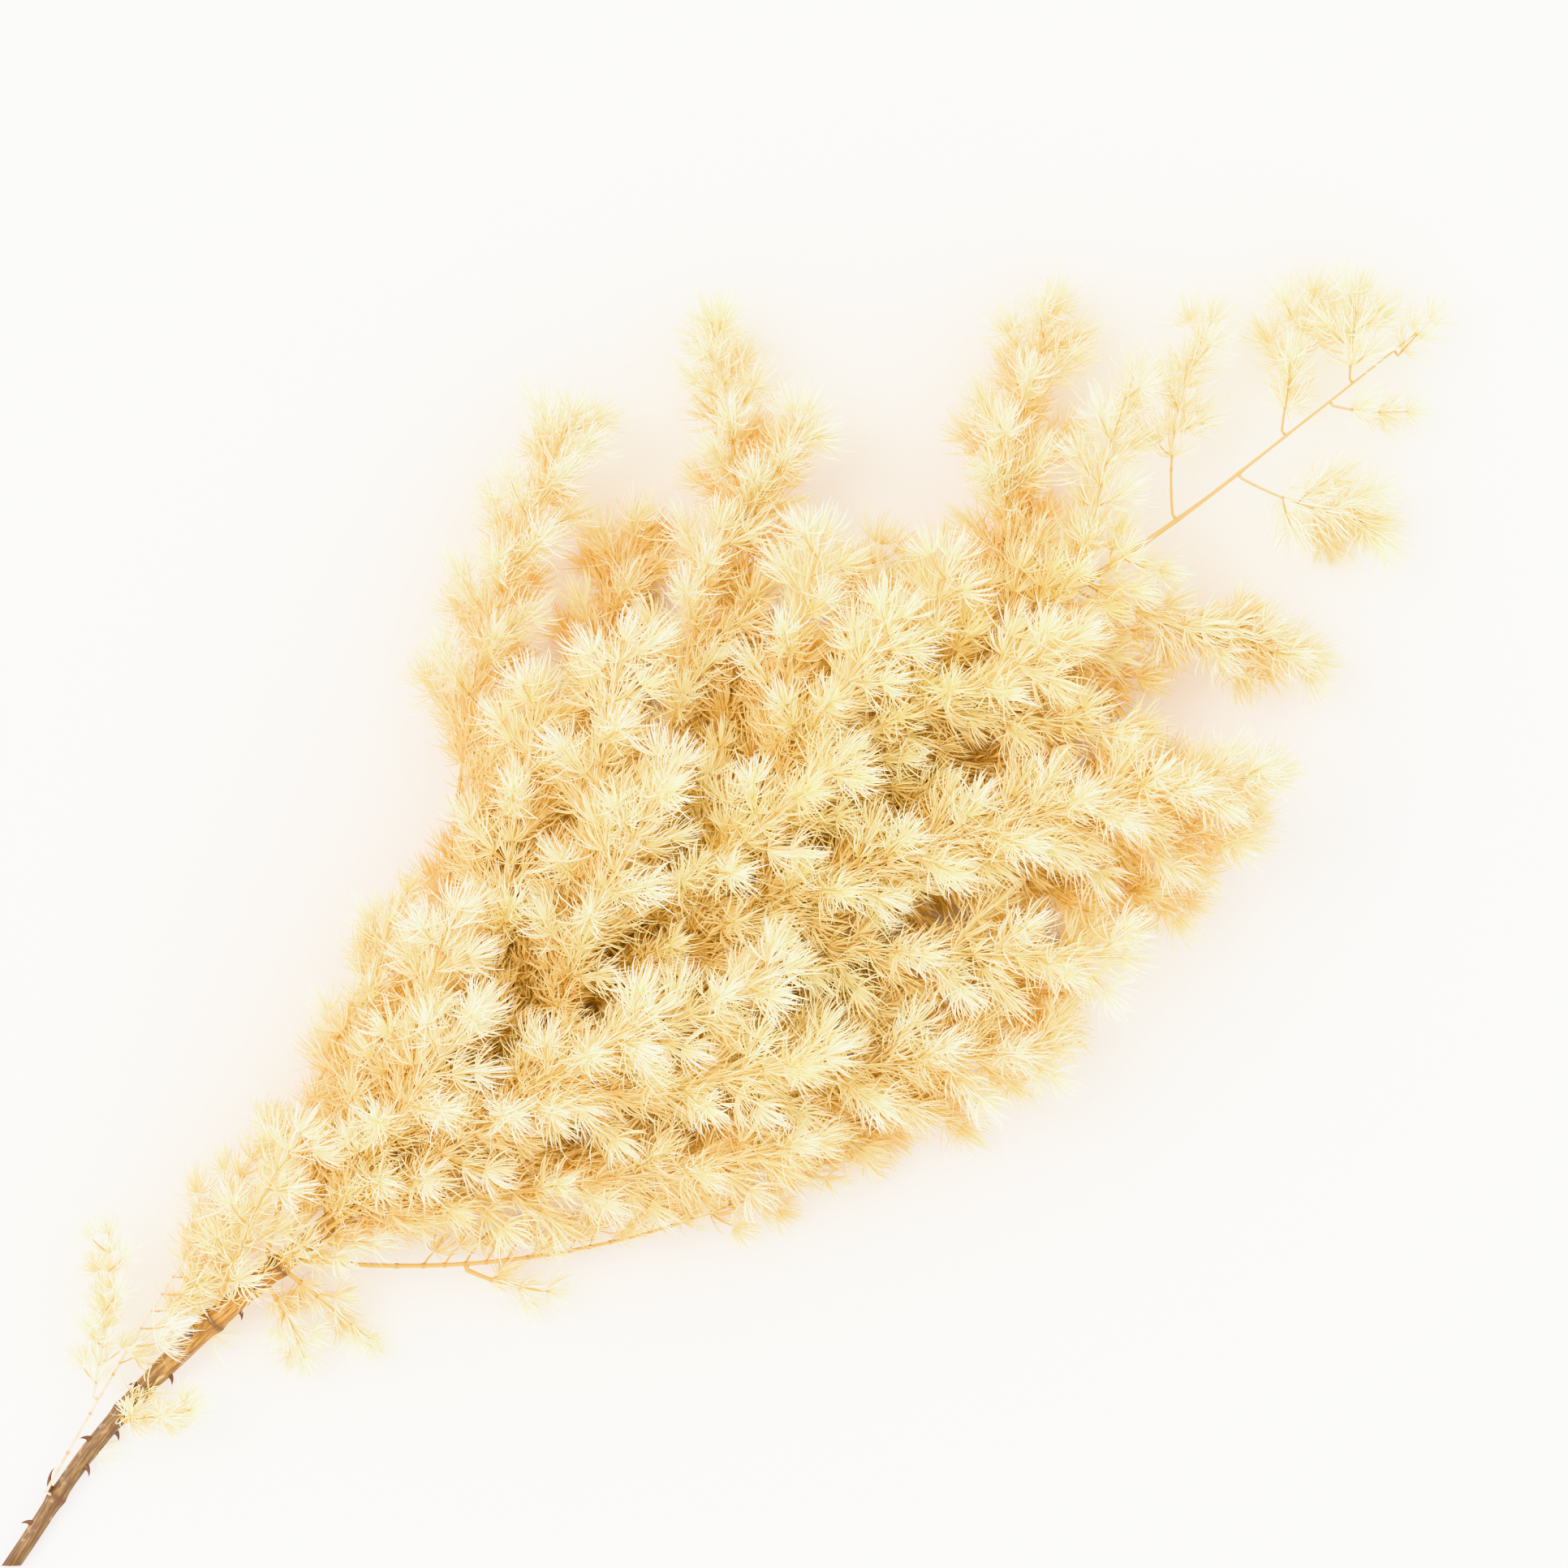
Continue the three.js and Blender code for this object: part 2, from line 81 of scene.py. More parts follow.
# Knots low down on the cane, and smaller nodes on its thin end, by the distance from the cut end.
# Each has a swelling and, a little past its middle, a narrow scar. The swelling is shaded less than
# the scar, and those further along are shaded less: (distances), (shares).
KNOTS = (27, 68, 116, 148, 186)
UPPER_NODES = (584, 613, 636, 648, 668)
KNOT_SWELL = 1.18
KNOT_HALF_LENGTH = 4
SWELL_WIDTH = 2.8
SCAR_PLACE = 0.6
SCAR_WIDTH = 0.5
SCAR_HEIGHT = 0.05
SWELL_SHADE = 0.6
KNOT_FADE = ((300, 500), (1, 0.55))

# Low ridges along the cane: (share of the radius, ridges round the cane, millimetres that twist by
# a radian)
RIDGES = ((0.018, 5, 60), (0.012, 9, -37))
GRAIN_STRETCH = 45

# The slanting cut, in degrees in plan, and how far it lies past the solid's end
CUT_SLANT = 35
CUT_OVERHANG = 3.5

# Thorns on the lower cane: (distance from the cut end, degrees round the cane from its left side)
THORNS = (
    (14, 20),
    (43, 150),
    (52, 25),
    (60, 200),
    (79, 40),
    (90, 170),
    (107, 60),
    (126, 190),
    (138, 100),
)

# A thorn's length and thickness, the angles between the cane's way and its bend and its tip, and how
# far along it the bend is
THORN_LENGTH = 5.4
THORN_RADIUS = 1.15
THORN_TAPER = (1.25, 1, 0.78, 0.58, 0.4, 0.22)
THORN_LEANS = (84.0, 116.0)
THORN_BEND_PLACE = 0.62
THORN_SIDES = 8

# The curved bract at the foot of the lowest twig: where it is, as for a thorn, and how long
BRACT = (27, 15)
BRACT_LENGTH = 11
BRACT_LEANS = (62.0, 30.0)

# Small tufts that sit on the cane itself: (distance from the cut end, degrees round the cane from its
# left side, bundles of needles)
CANE_TUFTS = (
    (49, 185, 6),
    (69, 110, 8),
    (75, 80, 9),
    (80, 130, 8),
    (112, 200, 5),
    (127, 70, 8),
    (136, 110, 9),
    (143, 60, 9),
    (152, 95, 10),
    (160, 190, 9),
    (167, 155, 10),
    (175, 200, 10),
    (183, 170, 10),
    (191, 196, 10),
    (200, 182, 10),
)
CANE_TUFT_LEAN = 55.0

# Short leafy side twigs on top of the cane, and long ones low down on both its sides: from where, to
# where and how far apart, the degrees by which they swing or droop, and (distances), (lengths).
# Single ones differ by a share of that length, and the low ones' tufts have fewer bundles.
CANE_LEAVES_SPAN = (152, 560, 5.5)
CANE_LEAVES_TURN = 75
CANE_LEAVES_LENGTH = ((152, 220, 300, 420, 560), (19, 34, 41, 40, 16))
LOW_LEAVES_SPAN = (172, 540, 6)
LOW_LEAVES_DROP = 14
LOW_LEAVES_LENGTH = ((172, 210, 300, 420, 540), (28, 40, 66, 66, 30))
CANE_TWIG_LENGTHS = (0.8, 1.1)
LOW_LEAVES_BUNDLES = -2

# The sprays. Each row holds its name, its parent, how far along the parent it leaves, where its twig
# ends, how far the twig bows to the left of its way and upwards, how long its side twigs get, and
# how long it stays bare.
SPRAYS = (
    ("left_spray_01", "cane", 27, (180, 56, 30), 7, 4, 14, 56),
    ("left_spray_02", "left_spray_01", 40, (107, 68, 26), -3, 6, 13, 6),
    ("left_spray_03", "cane", 98, (142, 41, 22), 5, 0, 9, 13),
    ("left_spray_04", "cane", 122, (186, 48, 60), 6, 8, 16, 12),
    ("left_spray_05", "cane", 148, (274, 88, 40), 13, 6, 9, 60),
    ("left_spray_06", "cane", 158, (234, 58, 16), 6, -4, 18, 14),
    ("left_spray_07", "cane", 178, (262, 84, 54), 6, 6, 18, 14),
    ("left_spray_08", "cane", 200, (284, 72, 86), 4, 14, 18, 14),
    ("left_spray_09", "cane", 216, (312, 84, 16), 8, -8, 21, 14),
    ("left_spray_10", "cane", 236, (437, 179, 34), 37, 0, 25, 16),
    ("left_spray_11", "cane", 253, (362, 112, 68), 6, 12, 22, 16),
    ("left_spray_12", "cane", 272, (427, 133, 16), 8, -8, 25, 16),
    ("left_spray_13", "cane", 300, (396, 104, 88), 6, 14, 20, 14),
    ("left_spray_14", "cane", 333, (450, 112, 50), 6, 0, 24, 14),
    ("left_spray_15", "cane", 372, (498, 171, 26), -21, -4, 18, 14),
    ("left_spray_16", "left_spray_15", 116, (502, 122, 40), 0, 6, 11, 6),
    ("left_spray_17", "cane", 400, (476, 84, 76), 5, 12, 18, 12),
    ("left_spray_18", "cane", 437, (490, 69, 30), 4, -4, 14, 12),
    ("left_spray_19", "cane", 468, (506, 46, 74), 3, 10, 14, 10),
    ("left_spray_20", "cane", 510, (597, 91, 24), 13, -4, 22, 14),
    ("left_spray_21", "left_spray_20", 44, (552, 72, 50), 0, 6, 12, 6),
    ("left_spray_22", "cane", 543, (601, 52, 52), 5, 8, 14, 10),
    ("left_spray_23", "cane", 584, (637, 48, 26), 12, 0, 13, 22),
    ("left_spray_24", "cane", 636, (672, 30, 16), 4, 0, 16, 9),
    ("left_spray_25", "cane", 668, (684, 19, 26), 2, 4, 12, 5),
    ("right_spray_01", "cane", 66, (86, -2, 28), -2, 8, 8, 4),
    ("right_spray_02", "cane", 140, (129, -16, 14), 3, 0, 8, 5),
    ("right_spray_03", "cane", 149, (152, -27, 10), 0, -3, 9, 6),
    ("right_spray_04", "cane", 157, (338, -94, 16), -36, -8, 14, 44),
    ("right_spray_05", "right_spray_04", 60, (214, -58, 12), -4, 0, 6, 10),
    ("right_spray_06", "cane", 190, (326, -82, 50), -8, 6, 20, 16),
    ("right_spray_07", "cane", 216, (372, -105, 18), -8, -8, 21, 16),
    ("right_spray_08", "cane", 240, (350, -60, 84), -6, 16, 20, 14),
    ("right_spray_09", "cane", 260, (414, -114, 46), -8, 2, 26, 16),
    ("right_spray_10", "cane", 172, (360, -26, 90), 8, 26, 18, 18),
    ("right_spray_11", "cane", 302, (430, -102, 16), -4, -8, 30, 16),
    ("right_spray_12", "cane", 337, (455, -106, 60), -5, 6, 24, 16),
    ("right_spray_13", "cane", 308, (541, -93, 72), 26, 26, 20, 16),
    ("right_spray_14", "cane", 380, (488, -106, 26), -3, -6, 22, 14),
    ("right_spray_15", "cane", 404, (519, -103, 50), -5, 8, 24, 14),
    ("right_spray_16", "cane", 436, (520, -74, 20), -6, -6, 25, 14),
    ("right_spray_17", "cane", 467, (515, -50, 62), -4, 10, 12, 12),
    ("right_spray_18", "cane", 494, (530, -34, 26), -4, -4, 14, 10),
    ("right_spray_19", "cane", 544, (581, -71, 22), -10, 0, 13, 24),
    ("right_spray_20", "right_spray_19", 38, (576, -50, 24), 2, 4, 6, 6),
    ("right_spray_21", "cane", 613, (633, -48, 16), -6, 0, 21, 18),
    ("right_spray_22", "cane", 657, (669, -26, 14), -3, 0, 6, 8),
    ("top_spray_1", "cane", 180, (266, 38, 88), 4, 20, 21, 14),
    ("top_spray_2", "cane", 227, (312, -6, 96), -3, 22, 18, 14),
    ("top_spray_3", "cane", 280, (380, 57, 97), 5, 20, 20, 14),
    ("top_spray_4", "cane", 330, (428, 18, 95), 3, 20, 21, 14),
    ("top_spray_5", "cane", 388, (478, 42, 92), 5, 20, 18, 14),
    ("top_spray_6", "cane", 442, (522, -6, 84), -3, 16, 18, 14),
    ("under_spray_1", "cane", 206, (296, 36, 12), 5, -12, 16, 20),
    ("under_spray_2", "cane", 250, (345, -24, 12), -5, -12, 16, 20),
    ("under_spray_3", "cane", 314, (418, 58, 12), 5, -12, 16, 20),
    ("under_spray_4", "cane", 366, (464, -26, 12), -5, -12, 16, 20),
    ("under_spray_5", "cane", 446, (535, 16, 12), 4, -12, 16, 20),
    ("end_spray", "cane", 688, (698, -6, 19), -1, 0, 0, 3),
)

# The solids' twigs: their radii, the gap to their parent, and how near the floor a side twig may get
TWIG_ROOT_RADIUS = 1.25
TWIG_TIP_RADIUS = 0.45
TWIG_CLEARANCE = 0.35
LOWEST_TWIG = 1.2

# The finished twigs: their share of the solid's thickness, the points in their line, the distance
# between rings, and the sides of a ring
TWIG_SHARE = 0.72
TWIG_POINTS = 80
TWIG_STEP = 5
TWIG_SIDES = 6

# A twig starts on its parent's middle line, with a collar at a share of the way to where its solid
# starts. Nodes are swellings where side twigs grow, and there are some on its bare part.
COLLAR_PLACE = 0.3
COLLAR_SWELL = 1.35
COLLAR_NODE = 0.6
NODE_SWELL = 0.35
NODE_HALF_LENGTH = 1.3
BARE_NODE_SPACING = 17
BARE_NODE_MARGIN = 4

# Thin twigs: the share of the usual thickness, and how bleached they are
THIN_TWIGS = {
    "left_spray_01": (0.62, 1),
    "left_spray_02": (0.6, 1),
    "left_spray_03": (0.8, 0.5),
    "left_spray_23": (0.55, 0),
    "left_spray_24": (0.5, 0),
    "left_spray_25": (0.5, 0),
    "right_spray_21": (0.6, 0.3),
    "right_spray_22": (0.6, 0.3),
    "end_spray": (0.5, 0),
}

# Side twigs. Angles are degrees, and a twist is round the twig that they grow on.
TUFT_SPACING = 16
TUFT_TWIST = 60
GOLDEN_ANGLE = 137.5
FIRST_TWIST = 90
SPRAY_TWIST = 120
TWIST_SPREAD = 10
SIDE_TWIG_LEAN = 52
SIDE_TWIG_BOW = 12
SIDE_TWIG_POINTS = 6
SIDE_TWIG_SIDES = 4
SIDE_TWIG_RADII = (0.42, 0.38, 0.34, 0.3)
SIDE_TWIG_NODE = (1, 0.3, 0, 0, 0, 0)
SIDE_TWIG_LENGTHS = (0.85, 1.08)
SHORTEST_SHARE = 0.55
FULLEST_POWER = 0.75

# Sprays whose side twigs all grow to one side, where the photograph shows a bare twig along the edge:
# which way, in degrees round the twig from its left, and how far along
ONE_SIDED = {
    "right_spray_04": (20, 150),
    "left_spray_05": (160, 105),
    "left_spray_01": (195, 100),
    "left_spray_10": (175, 125),
}
ONE_SIDED_SWING = 50

# Sprays along the outline, whose tufts and side twigs stand closer together
FULL_SPRAYS = {
    "left_spray_06",
    "left_spray_09",
    "left_spray_10",
    "left_spray_12",
    "left_spray_15",
    "left_spray_16",
    "left_spray_20",
    "right_spray_07",
    "right_spray_09",
    "right_spray_11",
    "right_spray_13",
    "right_spray_14",
    "right_spray_15",
    "right_spray_19",
    "right_spray_21",
}
FULL_GAP = 0.72

# Sprays with shorter needles than the others, by what share of the usual length
SHORT_NEEDLES = {
    "left_spray_01": 0.85,
    "left_spray_02": 0.7,
    "left_spray_05": 0.8,
    "right_spray_01": 0.75,
    "right_spray_02": 0.72,
    "right_spray_03": 0.72,
    "right_spray_04": 0.8,
    "right_spray_05": 0.8,
    "right_spray_22": 0.85,
    "cane": 0.9,
}

# How many more bundles a tuft has on the sprays that rise, on those under the others, and at the end
# of any twig
EXTRA_BUNDLES = {"top": 1, "under": -2}
END_BUNDLES = 3

# Needles. A lean is the angle between a needle and the way that its twig grows. Bundles are spread
# over a tuft in steps of two shares, of its span of leans and of the turn round it.
MAIN_LEANS = (26.0, 92.0)
SIDE_LEANS = (22.0, 86.0)
END_LEANS = (6.0, 86.0)
BUNDLE_STEPS = (0.7549, 0.5698)
NEEDLES_IN_BUNDLE = 3
LEAN_SPREAD = 13
TURN_SPREAD = 20.8
NEEDLE_BEND = 48
BEND_SPREAD = 14
SWERVE_SPREAD = 32
NEEDLE_LENGTHS = (0.72, 1.1)
NEEDLE_START = 0.3
NEEDLE_STEPS = (0, 0.12, 0.42, 0.72, 1)
LOWEST_NEEDLE = 0.35

# A needle is a flat blade, rolled by up to this many degrees. Hidden ones are plainer and wider.
BLADE_SIDES = 2
BLADE_ROLL = 80
OPEN_WIDTHS = (1, 1, 0.85)
HIDDEN_WIDTHS = (1.9,)
HIDDEN_SHELTER = 0.5

# How much painted shade a needle gets: what its depth under the highest needles counts in the open
# and, on top of that, in full shelter, and what shelter itself counts past a slight one
OPEN_DEPTH = 0.4
SHELTERED_DEPTH = 0.9
SHELTER_DEPTH = 0.2
SLIGHT_SHELTER = 0.3

# Needles are yellower round the middle of the branch: where in plan, how far each way, how yellow
# there, and how much less so one reach away. Sprays, tufts and needles differ by these spreads.
WARM_CENTRE = (430.0, -5.0)
WARM_REACH = (150.0, 90.0)
WARMTH = 0.62
WARMTH_LOSS = 0.3
FURTHEST_LOSS = 1.6
SPRAY_TINT_SPREAD = 0.08
TUFT_TINT_SPREAD = 0.12
NEEDLE_TINT_SPREAD = 0.2

# The two materials of a spray, by number
TWIG_SLOT = 0
NEEDLE_SLOT = 1

MM = 0.001
SEED = 11
Z_UP = np.array([0.0, 0.0, 1.0])


def unit(vectors):
    """Vectors scaled to a length of one."""
    return vectors / np.linalg.norm(vectors, axis=-1, keepdims=True)


def level_left(ways):
    """The level directions to the left of some ways."""
    return unit(np.cross(Z_UP, ways))


def turned(outward, ways, degrees):
    """Directions square to some ways, turned about them."""
    angle = np.radians(degrees)[..., None]
    return outward * np.cos(angle) + np.cross(ways, outward) * np.sin(angle)


def leaning(ways, outward, degrees):
    """Directions that lean away from some ways, towards outward ones."""
    angle = np.radians(degrees)[..., None]
    return ways * np.cos(angle) + outward * np.sin(angle)


class Stem:
    """The middle line of a cane or twig, and its thickness, by the distance along it."""

    def __init__(self, points, radius_at=None, root=None):
        self.points = points
        gaps = np.linalg.norm(np.diff(points, axis=0), axis=1)
        self.reached = np.concatenate([[0], np.cumsum(gaps)])
        self.length = self.reached[-1]
        self.radius_at = radius_at or self.tapered
        self.root = root

    def tapered(self, places):
        """A twig's radius."""
        return np.interp(places, (0, self.length), (TWIG_ROOT_RADIUS, TWIG_TIP_RADIUS))

    def at(self, places):
        """The points at some distances."""
        axes = [np.interp(places, self.reached, axis) for axis in self.points.T]
        return np.stack(axes, axis=-1)

    def way(self, places):
        """The directions that the line takes, over a millimetre each."""
        return unit(self.at(np.add(places, 0.5)) - self.at(np.subtract(places, 0.5)))


def bent_lines(starts, bends, ends, points):
    """Lines from starts to ends that are pulled towards bends."""
    share = np.linspace(0, 1, points)[:, None]
    starts, bends, ends = (np.asarray(place)[..., None, :] for place in (starts, bends, ends))
    return starts * (1 - share) ** 2 + bends * 2 * share * (1 - share) + ends * share**2


def smooth_line(corners, steps=60):
    """A centripetal Catmull-Rom curve through some points, as many close points."""
    padded = [2 * corners[0] - corners[1], *corners, 2 * corners[-1] - corners[-2]]
    share = np.linspace(0, 1, steps, endpoint=False)[:, None]
    line = []
    for a, b, c, d in zip(padded, padded[1:], padded[2:], padded[3:]):
        back, span, ahead = (np.sqrt(np.linalg.norm(q - p)) for p, q in ((a, b), (b, c), (c, d)))
        leave = ((b - a) / back - (c - a) / (back + span) + (c - b) / span) * span
        arrive = ((c - b) / span - (d - b) / (span + ahead) + (d - c) / ahead) * span
        square = 3 * (c - b) - 2 * leave - arrive
        cube = 2 * (b - c) + leave + arrive
        line.append(b + share * (leave + share * (square + share * cube)))
    return np.concatenate([*line, corners[-1:]])


def plain_radius(places):
    """The radius of the solid cane without its knots."""
    table = np.array(CANE)
    return np.interp(CANE_LINE.at(places)[..., 0], table[:, 0], table[:, 3])


def cane_radius(places):
    """The radius of the solid cane, with a swelling at each knot."""
    from_knot = np.abs(np.subtract.outer(places, KNOTS)).min(axis=-1)
    swell = np.interp(from_knot, (0, KNOT_HALF_LENGTH), (KNOT_SWELL, 1))
    return plain_radius(places) * swell


def shown_radius(places):
    """The radius that the finished cane has, without its knots."""
    return plain_radius(places) * np.interp(places, *CANE_SHARE)


CANE_LINE = Stem(smooth_line(np.array(CANE)[:, :3]), cane_radius)


def spray_stem(parent, at, tip, bow, arch):
    """A spray's twig, which starts a hair clear of its parent's skin on the side it grows towards."""
    middle = parent.at(at)
    parent_way = parent.way(at)
    end = np.array(tip, float)
    chord = end - middle
    bend = middle + chord / 2 + level_left(chord) * bow + Z_UP * arch
    way = unit(bend - middle)
    along = way @ parent_way
    outward = unit(way - parent_way * along)
    seat = parent.radius_at(at) + TWIG_CLEARANCE + TWIG_ROOT_RADIUS * abs(along)
    start = middle + outward * seat
    return Stem(bent_lines(start, bend, end, TWIG_POINTS), root=middle)


def all_stems():
    """The cane and every spray's twig, by name. A parent comes before what grows on it."""
    stems = {"cane": CANE_LINE}
    for name, parent, at, tip, bow, arch, _, _ in SPRAYS:
        stems[name] = spray_stem(stems[parent], at, tip, bow, arch)
    return stems


STEMS = all_stems()


def frame_shift():
    """What moves a place in the tables to its place in the frame, found from the solid cane's box."""
    places = np.arange(0, CANE_LINE.length)
    left = level_left(CANE_LINE.way(places))
    reach = CANE_LINE.at(places) + left * cane_radius(places)[:, None]
    top = CANE_LINE.at(places)[:, 2] + cane_radius(places)
    high = np.array(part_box("cane")[1]) / MM
    return high - (CANE[-1][0], reach[:, 1].max(), top.max())


SHIFT = frame_shift()


def in_frame(points):
    """Places in the tables, in metres in the frame."""
    return (np.asarray(points) + SHIFT) * MM


# Meshes
def make_mesh(name, points, counts, corners, slots, smooth, materials):
    """A mesh from places in the tables, each face's count of corners and each corner's vertex."""
    mesh = bpy.data.meshes.new(name)
    mesh.vertices.add(len(points))
    mesh.vertices.foreach_set("co", in_frame(points).ravel())
    mesh.loops.add(len(corners))
    mesh.loops.foreach_set("vertex_index", corners)
    mesh.polygons.add(len(counts))
    mesh.polygons.foreach_set("loop_start", np.cumsum(counts) - counts)
    for material in materials:
        mesh.materials.append(material)
    mesh.polygons.foreach_set("material_index", slots)
    mesh.polygons.foreach_set("use_smooth", smooth)
    return mesh


def add_values(mesh, name, values):
    """Adds a number or a vector at every vertex, for the materials to read."""
    kind, field = ("FLOAT", "value") if values.ndim == 1 else ("FLOAT_VECTOR", "vector")
    attribute = mesh.attributes.new(name, kind, "POINT")
    attribute.data.foreach_set(field, values.astype(np.float32).ravel())


def link_object(name, mesh):
    made = bpy.data.objects.new(name, mesh)
    bpy.context.scene.collection.objects.link(made)
    return made


# Every twig, thorn and needle is a strand: a point, some rings and a point.
def strand_faces(rings, sides):
    """The faces of a strand: their corner counts, and each corner's vertex and place on the strand.

    A place is the share round the strand and the share along it. A strand with two sides is a flat
    blade, with one face where others have a band.
    """
    last = rings * sides + 1
    counts, vertices, places = [], [], []

    def face(*corners):
        counts.append(len(corners))
        for ring, side in corners:
            if ring < 0:
                vertices.append(0)
            elif ring == rings:
                vertices.append(last)
            else:
                vertices.append(1 + ring * sides + int(side) % sides)
            places.append((side / sides, (ring + 1) / (rings + 1)))

    for side in range(1 if sides == 2 else sides):
        face((-1, side + 0.5), (0, side + 1), (0, side))
        for ring in range(rings - 1):
            face((ring, side), (ring, side + 1), (ring + 1, side + 1), (ring + 1, side))
        face((rings - 1, side), (rings - 1, side + 1), (rings, side + 0.5))
    return np.array(counts), np.array(vertices), np.array(places)


def strand_vertices(lines, radii, sides, sideways):
    """The vertices of some strands. A line's first and last points are its ends."""
    ways = unit(lines[:, 2:] - lines[:, :-2])
    first = unit(sideways - ways * (ways * sideways).sum(-1, keepdims=True))
    second = np.cross(ways, first)
    turn = 2 * np.pi * np.arange(sides) / sides
    out = first[..., None, :] * np.cos(turn)[:, None] + second[..., None, :] * np.sin(turn)[:, None]
    rings = lines[:, 1:-1, None] + out * radii[..., None, None]
    rings = rings.reshape(len(lines), -1, 3)
    return np.concatenate([lines[:, :1], rings, lines[:, -1:]], axis=1)


def per_vertex(values, sides):
    """Values at a line's points, spread to the vertices round them."""
    middle = np.repeat(values[:, 1:-1], sides, axis=1)
    return np.concatenate([values[:, :1], middle, values[:, -1:]], axis=1)


class StrandMesh:
    """Strands of several kinds, gathered into one mesh. A slot is the number of their material."""

    # The image that colours may be baked to: a band for the first strand, and tall cells for the rest
    BAND = 0.1
    BAND_SHARE = 0.9
    CELL_ASPECT = 4
    CELL_MARGIN = 0.12

    def __init__(self):
        self.kinds = []

    def add(self, lines, radii, sides, sideways, slot, **values):
        """Adds strands of one kind. Each of the values is a number at every point of every line."""
        if len(lines) == 0:
            return
        points = lines.shape[1]
        along = np.broadcast_to(np.linspace(0, 1, points), lines.shape[:2])
        self.kinds.append(
            {
                "vertices": strand_vertices(lines, radii, sides, sideways),
                "faces": strand_faces(points - 2, sides),
                "slot": slot,
                "along": per_vertex(along, sides),
                **{name: per_vertex(value, sides) for name, value in values.items()},
            }
        )

    def cells(self):
        """The number of columns and rows of cells in the image."""
        strands = sum(len(kind["vertices"]) for kind in self.kinds)
        columns = int(np.ceil((strands * self.CELL_ASPECT) ** 0.5))
        return columns, int(np.ceil(strands / columns))

    def image_places(self, kind, first, places):
        """The places of one kind's corners in the image."""
        numbers = first + np.arange(len(kind["vertices"]))
        if first == 0 and len(numbers) == 1:
            return np.stack([places[:, 1], places[:, 0] * self.BAND * self.BAND_SHARE], -1)[None]
        columns, rows = self.cells()
        inner = self.CELL_MARGIN + places * (1 - 2 * self.CELL_MARGIN)
        across = (numbers[:, None] % columns + inner[:, 0]) / columns
        up = (numbers[:, None] // columns + inner[:, 1]) / rows
        return np.stack([across, self.BAND + up * (1 - self.BAND)], -1)

    def gather(self):
        """All corner counts, corner vertices, image places and slots of the faces."""
        counts, corners, places, slots = [], [], [], []
        first_vertex = 0
        first_strand = 0
        for kind in self.kinds:
            strands, size = kind["vertices"].shape[:2]
            face_counts, face_vertices, face_places = kind["faces"]
            offsets = first_vertex + size * np.arange(strands)
            counts.append(np.tile(face_counts, strands))
            corners.append((offsets[:, None] + face_vertices).ravel())
            places.append(self.image_places(kind, first_strand, face_places).reshape(-1, 2))
            slots.append(np.full(strands * len(face_counts), kind["slot"]))
            first_vertex += strands * size
            first_strand += strands
        return [np.concatenate(part) for part in (counts, corners, places, slots)]

    def build(self, name, materials):
        """Makes the mesh and an object that shows it."""
        counts, corners, places, slots = self.gather()
        vertices = np.concatenate([kind["vertices"].reshape(-1, 3) for kind in self.kinds])
        smooth = np.ones(len(counts), bool)
        mesh = make_mesh(name, vertices, counts, corners, slots, smooth, materials)
        for value in ("along", "tint", "shelter", "node"):
            add_values(mesh, value, np.concatenate([kind[value].ravel() for kind in self.kinds]))
        layer = mesh.uv_layers.new(name="OFBake")
        layer.uv.foreach_set("vector", places.ravel())
        mesh.update(calc_edges=True)
        return link_object(name, mesh)


# Growth
def evenly_halved(start, end, step):
    """Twice as many even steps from start to end as the solids have."""
    steps = max(1, int((end - start) / step + 0.5))
    return np.linspace(start, end, 2 * steps + 1)


def fullness(share):
    """How long a side twig is: short at both ends of the leafy stretch."""
    return SHORTEST_SHARE + (1 - SHORTEST_SHARE) * np.sin(np.pi * np.power(share, FULLEST_POWER))


def above_floor(points, lowest):
    """Points that would be under the floor bend along it."""
    points[..., 2] = np.maximum(points[..., 2], lowest)
    return points


def tuft_needles(centres, ways, bundles, leans, length, rng):
    """The needles of some tufts: their lines, the ways that their flat blades face, and their tufts.

    Bundles are spread evenly over the span of leans, and each holds a few needles side by side.
    """
    order = np.arange(bundles.max())
    kept = order < bundles[:, None]
    share = (order * BUNDLE_STEPS[0] + rng.random((len(centres), 1))) % 1
    near, far = np.cos(np.radians(leans))[:, :, None].transpose(1, 0, 2)
    bundle_lean = np.degrees(np.arccos(near + (far - near) * share))[kept]
    bundle_turn = (360 * (order * BUNDLE_STEPS[1] + rng.random((len(centres), 1))))[kept]
    tufts = np.repeat(np.nonzero(kept)[0], NEEDLES_IN_BUNDLE)
    count = len(tufts)

    lean = np.repeat(bundle_lean, NEEDLES_IN_BUNDLE) + rng.normal(0, LEAN_SPREAD, count)
    turn = np.repeat(bundle_turn, NEEDLES_IN_BUNDLE) + rng.normal(0, TURN_SPREAD, count)
    bend = rng.normal(NEEDLE_BEND, BEND_SPREAD, count)
    swerve = rng.normal(0, SWERVE_SPREAD, count)
    length = length * rng.uniform(*NEEDLE_LENGTHS, count)
    way = ways[tufts]
    left = level_left(way)
    points = [centres[tufts] + leaning(way, turned(left, way, turn), lean) * NEEDLE_START]
    for near, far in zip(NEEDLE_STEPS, NEEDLE_STEPS[1:]):
        middle = (near + far) / 2
        outward = turned(left, way, turn + swerve * middle)
        step = leaning(way, outward, lean - bend * middle) * length[:, None] * (far - near)
        points.append(points[-1] + step)
    lines = above_floor(np.stack(points, axis=1), LOWEST_NEEDLE)
    run = unit(lines[:, -1] - lines[:, 0])
    across = turned(level_left(run), run, rng.uniform(-BLADE_ROLL, BLADE_ROLL, count))
    return lines, across, tufts


